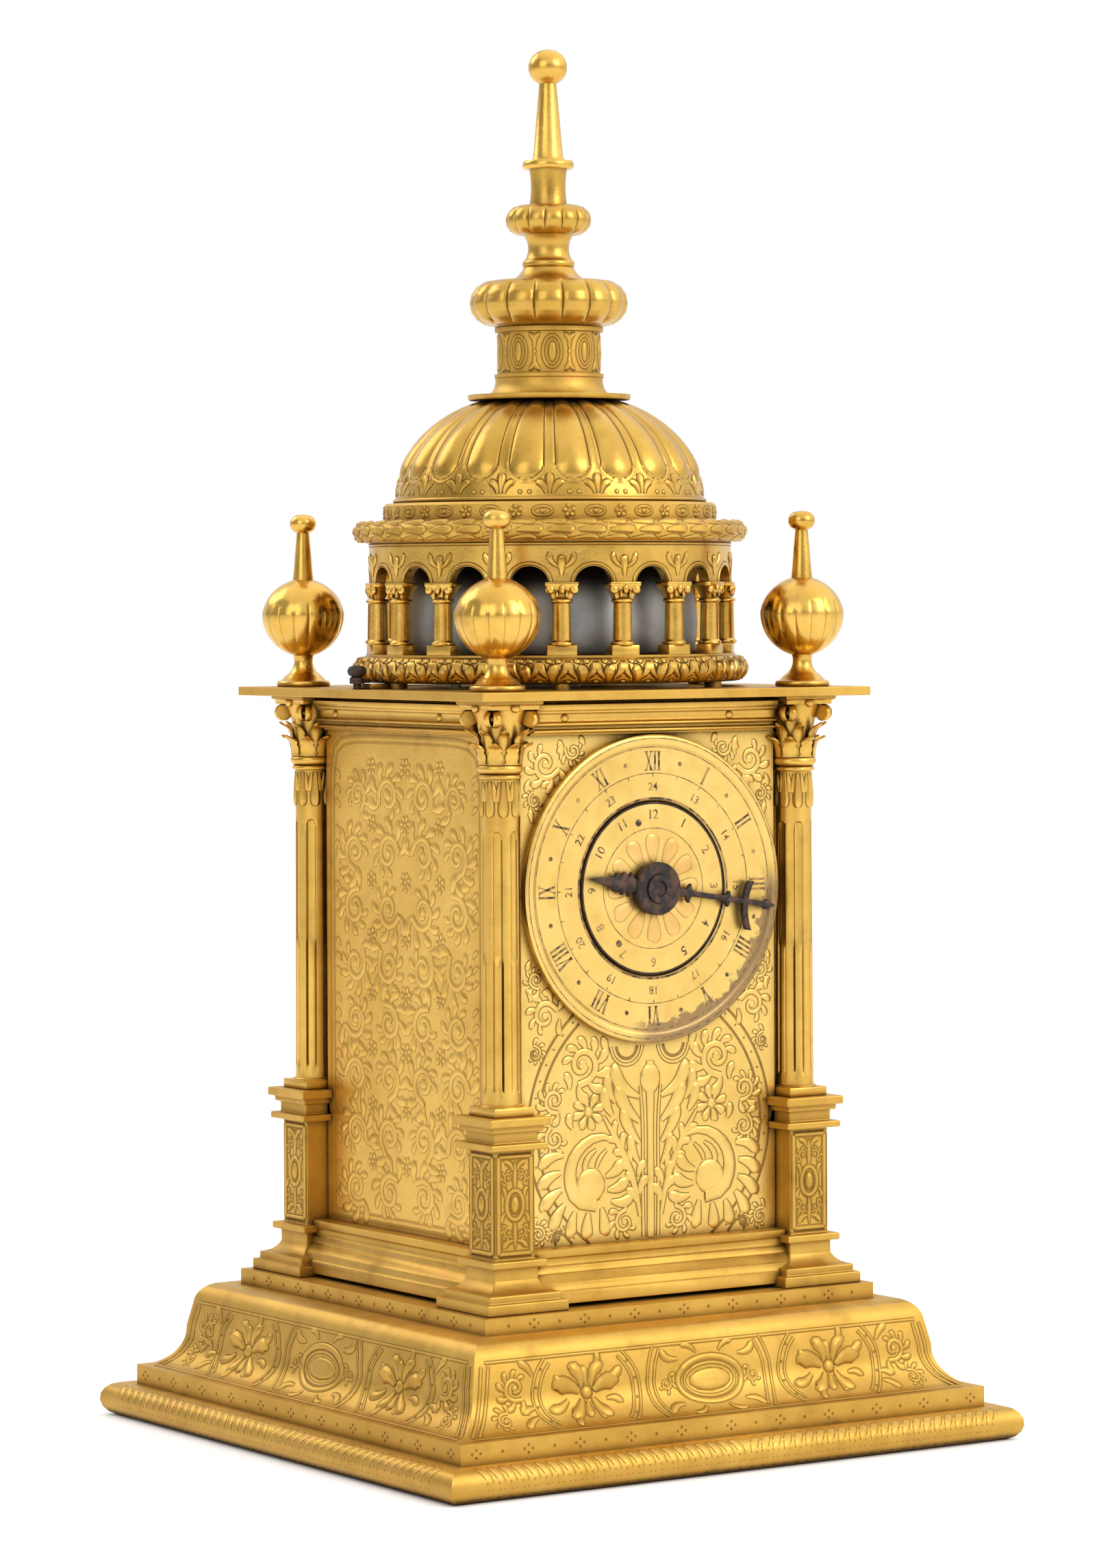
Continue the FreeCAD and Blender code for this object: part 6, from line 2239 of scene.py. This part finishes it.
@dataclass
class Shown:
    """The CAD nodes that stay: what each is finished in, and its softened edges."""

    edge: float = 0.35

    def build(self) -> None:
        """Give every node its finish."""
        slots = {row["node"]: row["material_slot"] for row in frame["record"]["subparts"]}
        for name, item in frame["nodes"].items():
            finish = self.finish_of(name, slots.get(name, "gilt"))
            item.data.materials.clear()
            item.data.materials.append(finish.material())
            if name.split("_")[0] in ("front", "left", "right", "back", "top", "pedestal"):
                self.ease_edges(item)
            LOG.info("%s: finished in %s", name, finish.name)

    def finish_of(self, name: str, slot: str) -> Finish:
        """The finish of a node by its name and the record's slot.

        Args:
            name: the node's name.
            slot: its slot.

        Returns:
            The finish.
        """
        if name == "front_panel":
            return FRONT_GILT
        if "panel" in name:
            return MATTED_GILT
        if name in ("hour_wheel", "movement_front_plate") or name.startswith("case_post"):
            return FORGED_IRON
        if name.endswith(("wheel", "barrel")):
            return BRASS_WHEEL
        return {"gilt": PLAIN_GILT, "iron": FORGED_IRON, "steel": FILED_STEEL, "bell_metal": BELL_GREY}[slot]

    def ease_edges(self, item: bpy.types.Object) -> None:
        """Join the node's triangles and round its sharp edges.

        Args:
            item: the node's object.
        """
        weld = item.modifiers.new("weld", "WELD")
        weld.merge_threshold = 1e-6
        flat = item.modifiers.new("flat", "DECIMATE")
        flat.decimate_type = "DISSOLVE"
        flat.angle_limit = radians(0.5)
        soft = item.modifiers.new("soft", "BEVEL")
        soft.width = self.edge * MM
        soft.segments = 2
        soft.limit_method = "ANGLE"
        soft.angle_limit = radians(40)
        soft.use_clamp_overlap = True


@dataclass
class Studio:
    """The floor, the soft light and the camera."""

    stand: tuple[float, float, float] = (-0.6648, -1.0016, 0.1951)
    aim: tuple[float, float, float] = (0.553, 0.833, -0.0007)
    lens: float = 118.74
    shift: Flat = (0.0035, -0.1233)
    roll: float = -0.26
    middle: tuple[float, float, float] = (0, 0, 0.16)

    def build(self) -> None:
        """Set the floor, the world, the lamps and the camera."""
        floor = Shape()
        bmesh.ops.create_grid(floor.bm, x_segments=1, y_segments=1, size=6000)
        data = floor.mesh("studio_floor")
        data.transform(Matrix.Scale(MM, 4))
        data.materials.append(STUDIO_FLOOR.material())
        linked("studio_floor", data)
        bpy.context.scene.view_settings.view_transform = "Standard"
        self.world()
        self.lamp("key", (0.7, -1.5, 1.1), 0.9, 10.5)
        self.lamp("fill", (-1.3, -0.7, 0.8), 1.0, 5.0)
        self.lamp("rim", (-0.6, 1.2, 1.2), 0.9, 6.0)
        self.sky()
        self.camera()

    def world(self) -> None:
        """A white room that is brighter on its right than on its left."""
        world = bpy.data.worlds.new("studio_world")
        world.use_nodes = True
        nodes, links = world.node_tree.nodes, world.node_tree.links
        way = nodes.new("ShaderNodeTexCoord")
        side = nodes.new("ShaderNodeVectorMath")
        side.operation = "DOT_PRODUCT"
        side.inputs[1].default_value = (0.9, 0.3, 0.3)
        span = nodes.new("ShaderNodeMapRange")
        for name, value in (("From Min", -0.5), ("From Max", 0.5), ("To Min", 0.5), ("To Max", 1.0)):
            span.inputs[name].default_value = value
        back = nodes["Background"]
        back.inputs["Color"].default_value = (1.0, 1.0, 1.0, 1.0)
        links.new(way.outputs["Generated"], side.inputs[0])
        links.new(side.outputs["Value"], span.inputs["Value"])
        links.new(span.outputs["Result"], back.inputs["Strength"])
        bpy.context.scene.world = world

    def sky(self) -> None:
        """A wide soft light from above, which reaches the whole floor."""
        data = bpy.data.lights.new("sky", "SUN")
        data.energy = 1.2
        data.angle = radians(120)
        linked("sky", data).rotation_euler = (radians(20), radians(15), 0)

    def lamp(self, name: str, place: Spot, size: float, power: float) -> None:
        """Hang a square soft lamp that looks at the clock.

        Args:
            name: its name.
            place: where it hangs.
            size: its side in metres.
            power: its watts.
        """
        data = bpy.data.lights.new(name, "AREA")
        data.size = size
        data.energy = power
        item = linked(name, data)
        item.location = place
        item.rotation_euler = (Vector(self.middle) - Vector(place)).to_track_quat("-Z", "Y").to_euler()

    def camera(self) -> None:
        """Set the camera where the photograph was taken."""
        data = bpy.data.cameras.new("camera")
        data.lens = self.lens
        data.sensor_width = 36.0
        data.sensor_fit = "AUTO"
        data.shift_x, data.shift_y = self.shift
        data.clip_end = 50.0
        item = linked("camera", data)
        item.location = self.stand
        look = Vector(self.aim).to_track_quat("-Z", "Y").to_matrix().to_4x4()
        item.rotation_euler = (look @ turned(radians(self.roll))).to_euler()
        bpy.context.scene.camera = item


def main() -> None:
    """Build the clock's sub-assemblies in order, then the studio."""
    logging.basicConfig(level=logging.INFO, format="%(name)s %(message)s")
    for part in (Shown, Plinth, Case, Pilasters, Finials, Gallery, Dome, Spire, Bell, Dial, Latch, Studio):
        LOG.info("building %s", part.__name__)
        part().build()


if __name__ == "__main__":
    main()
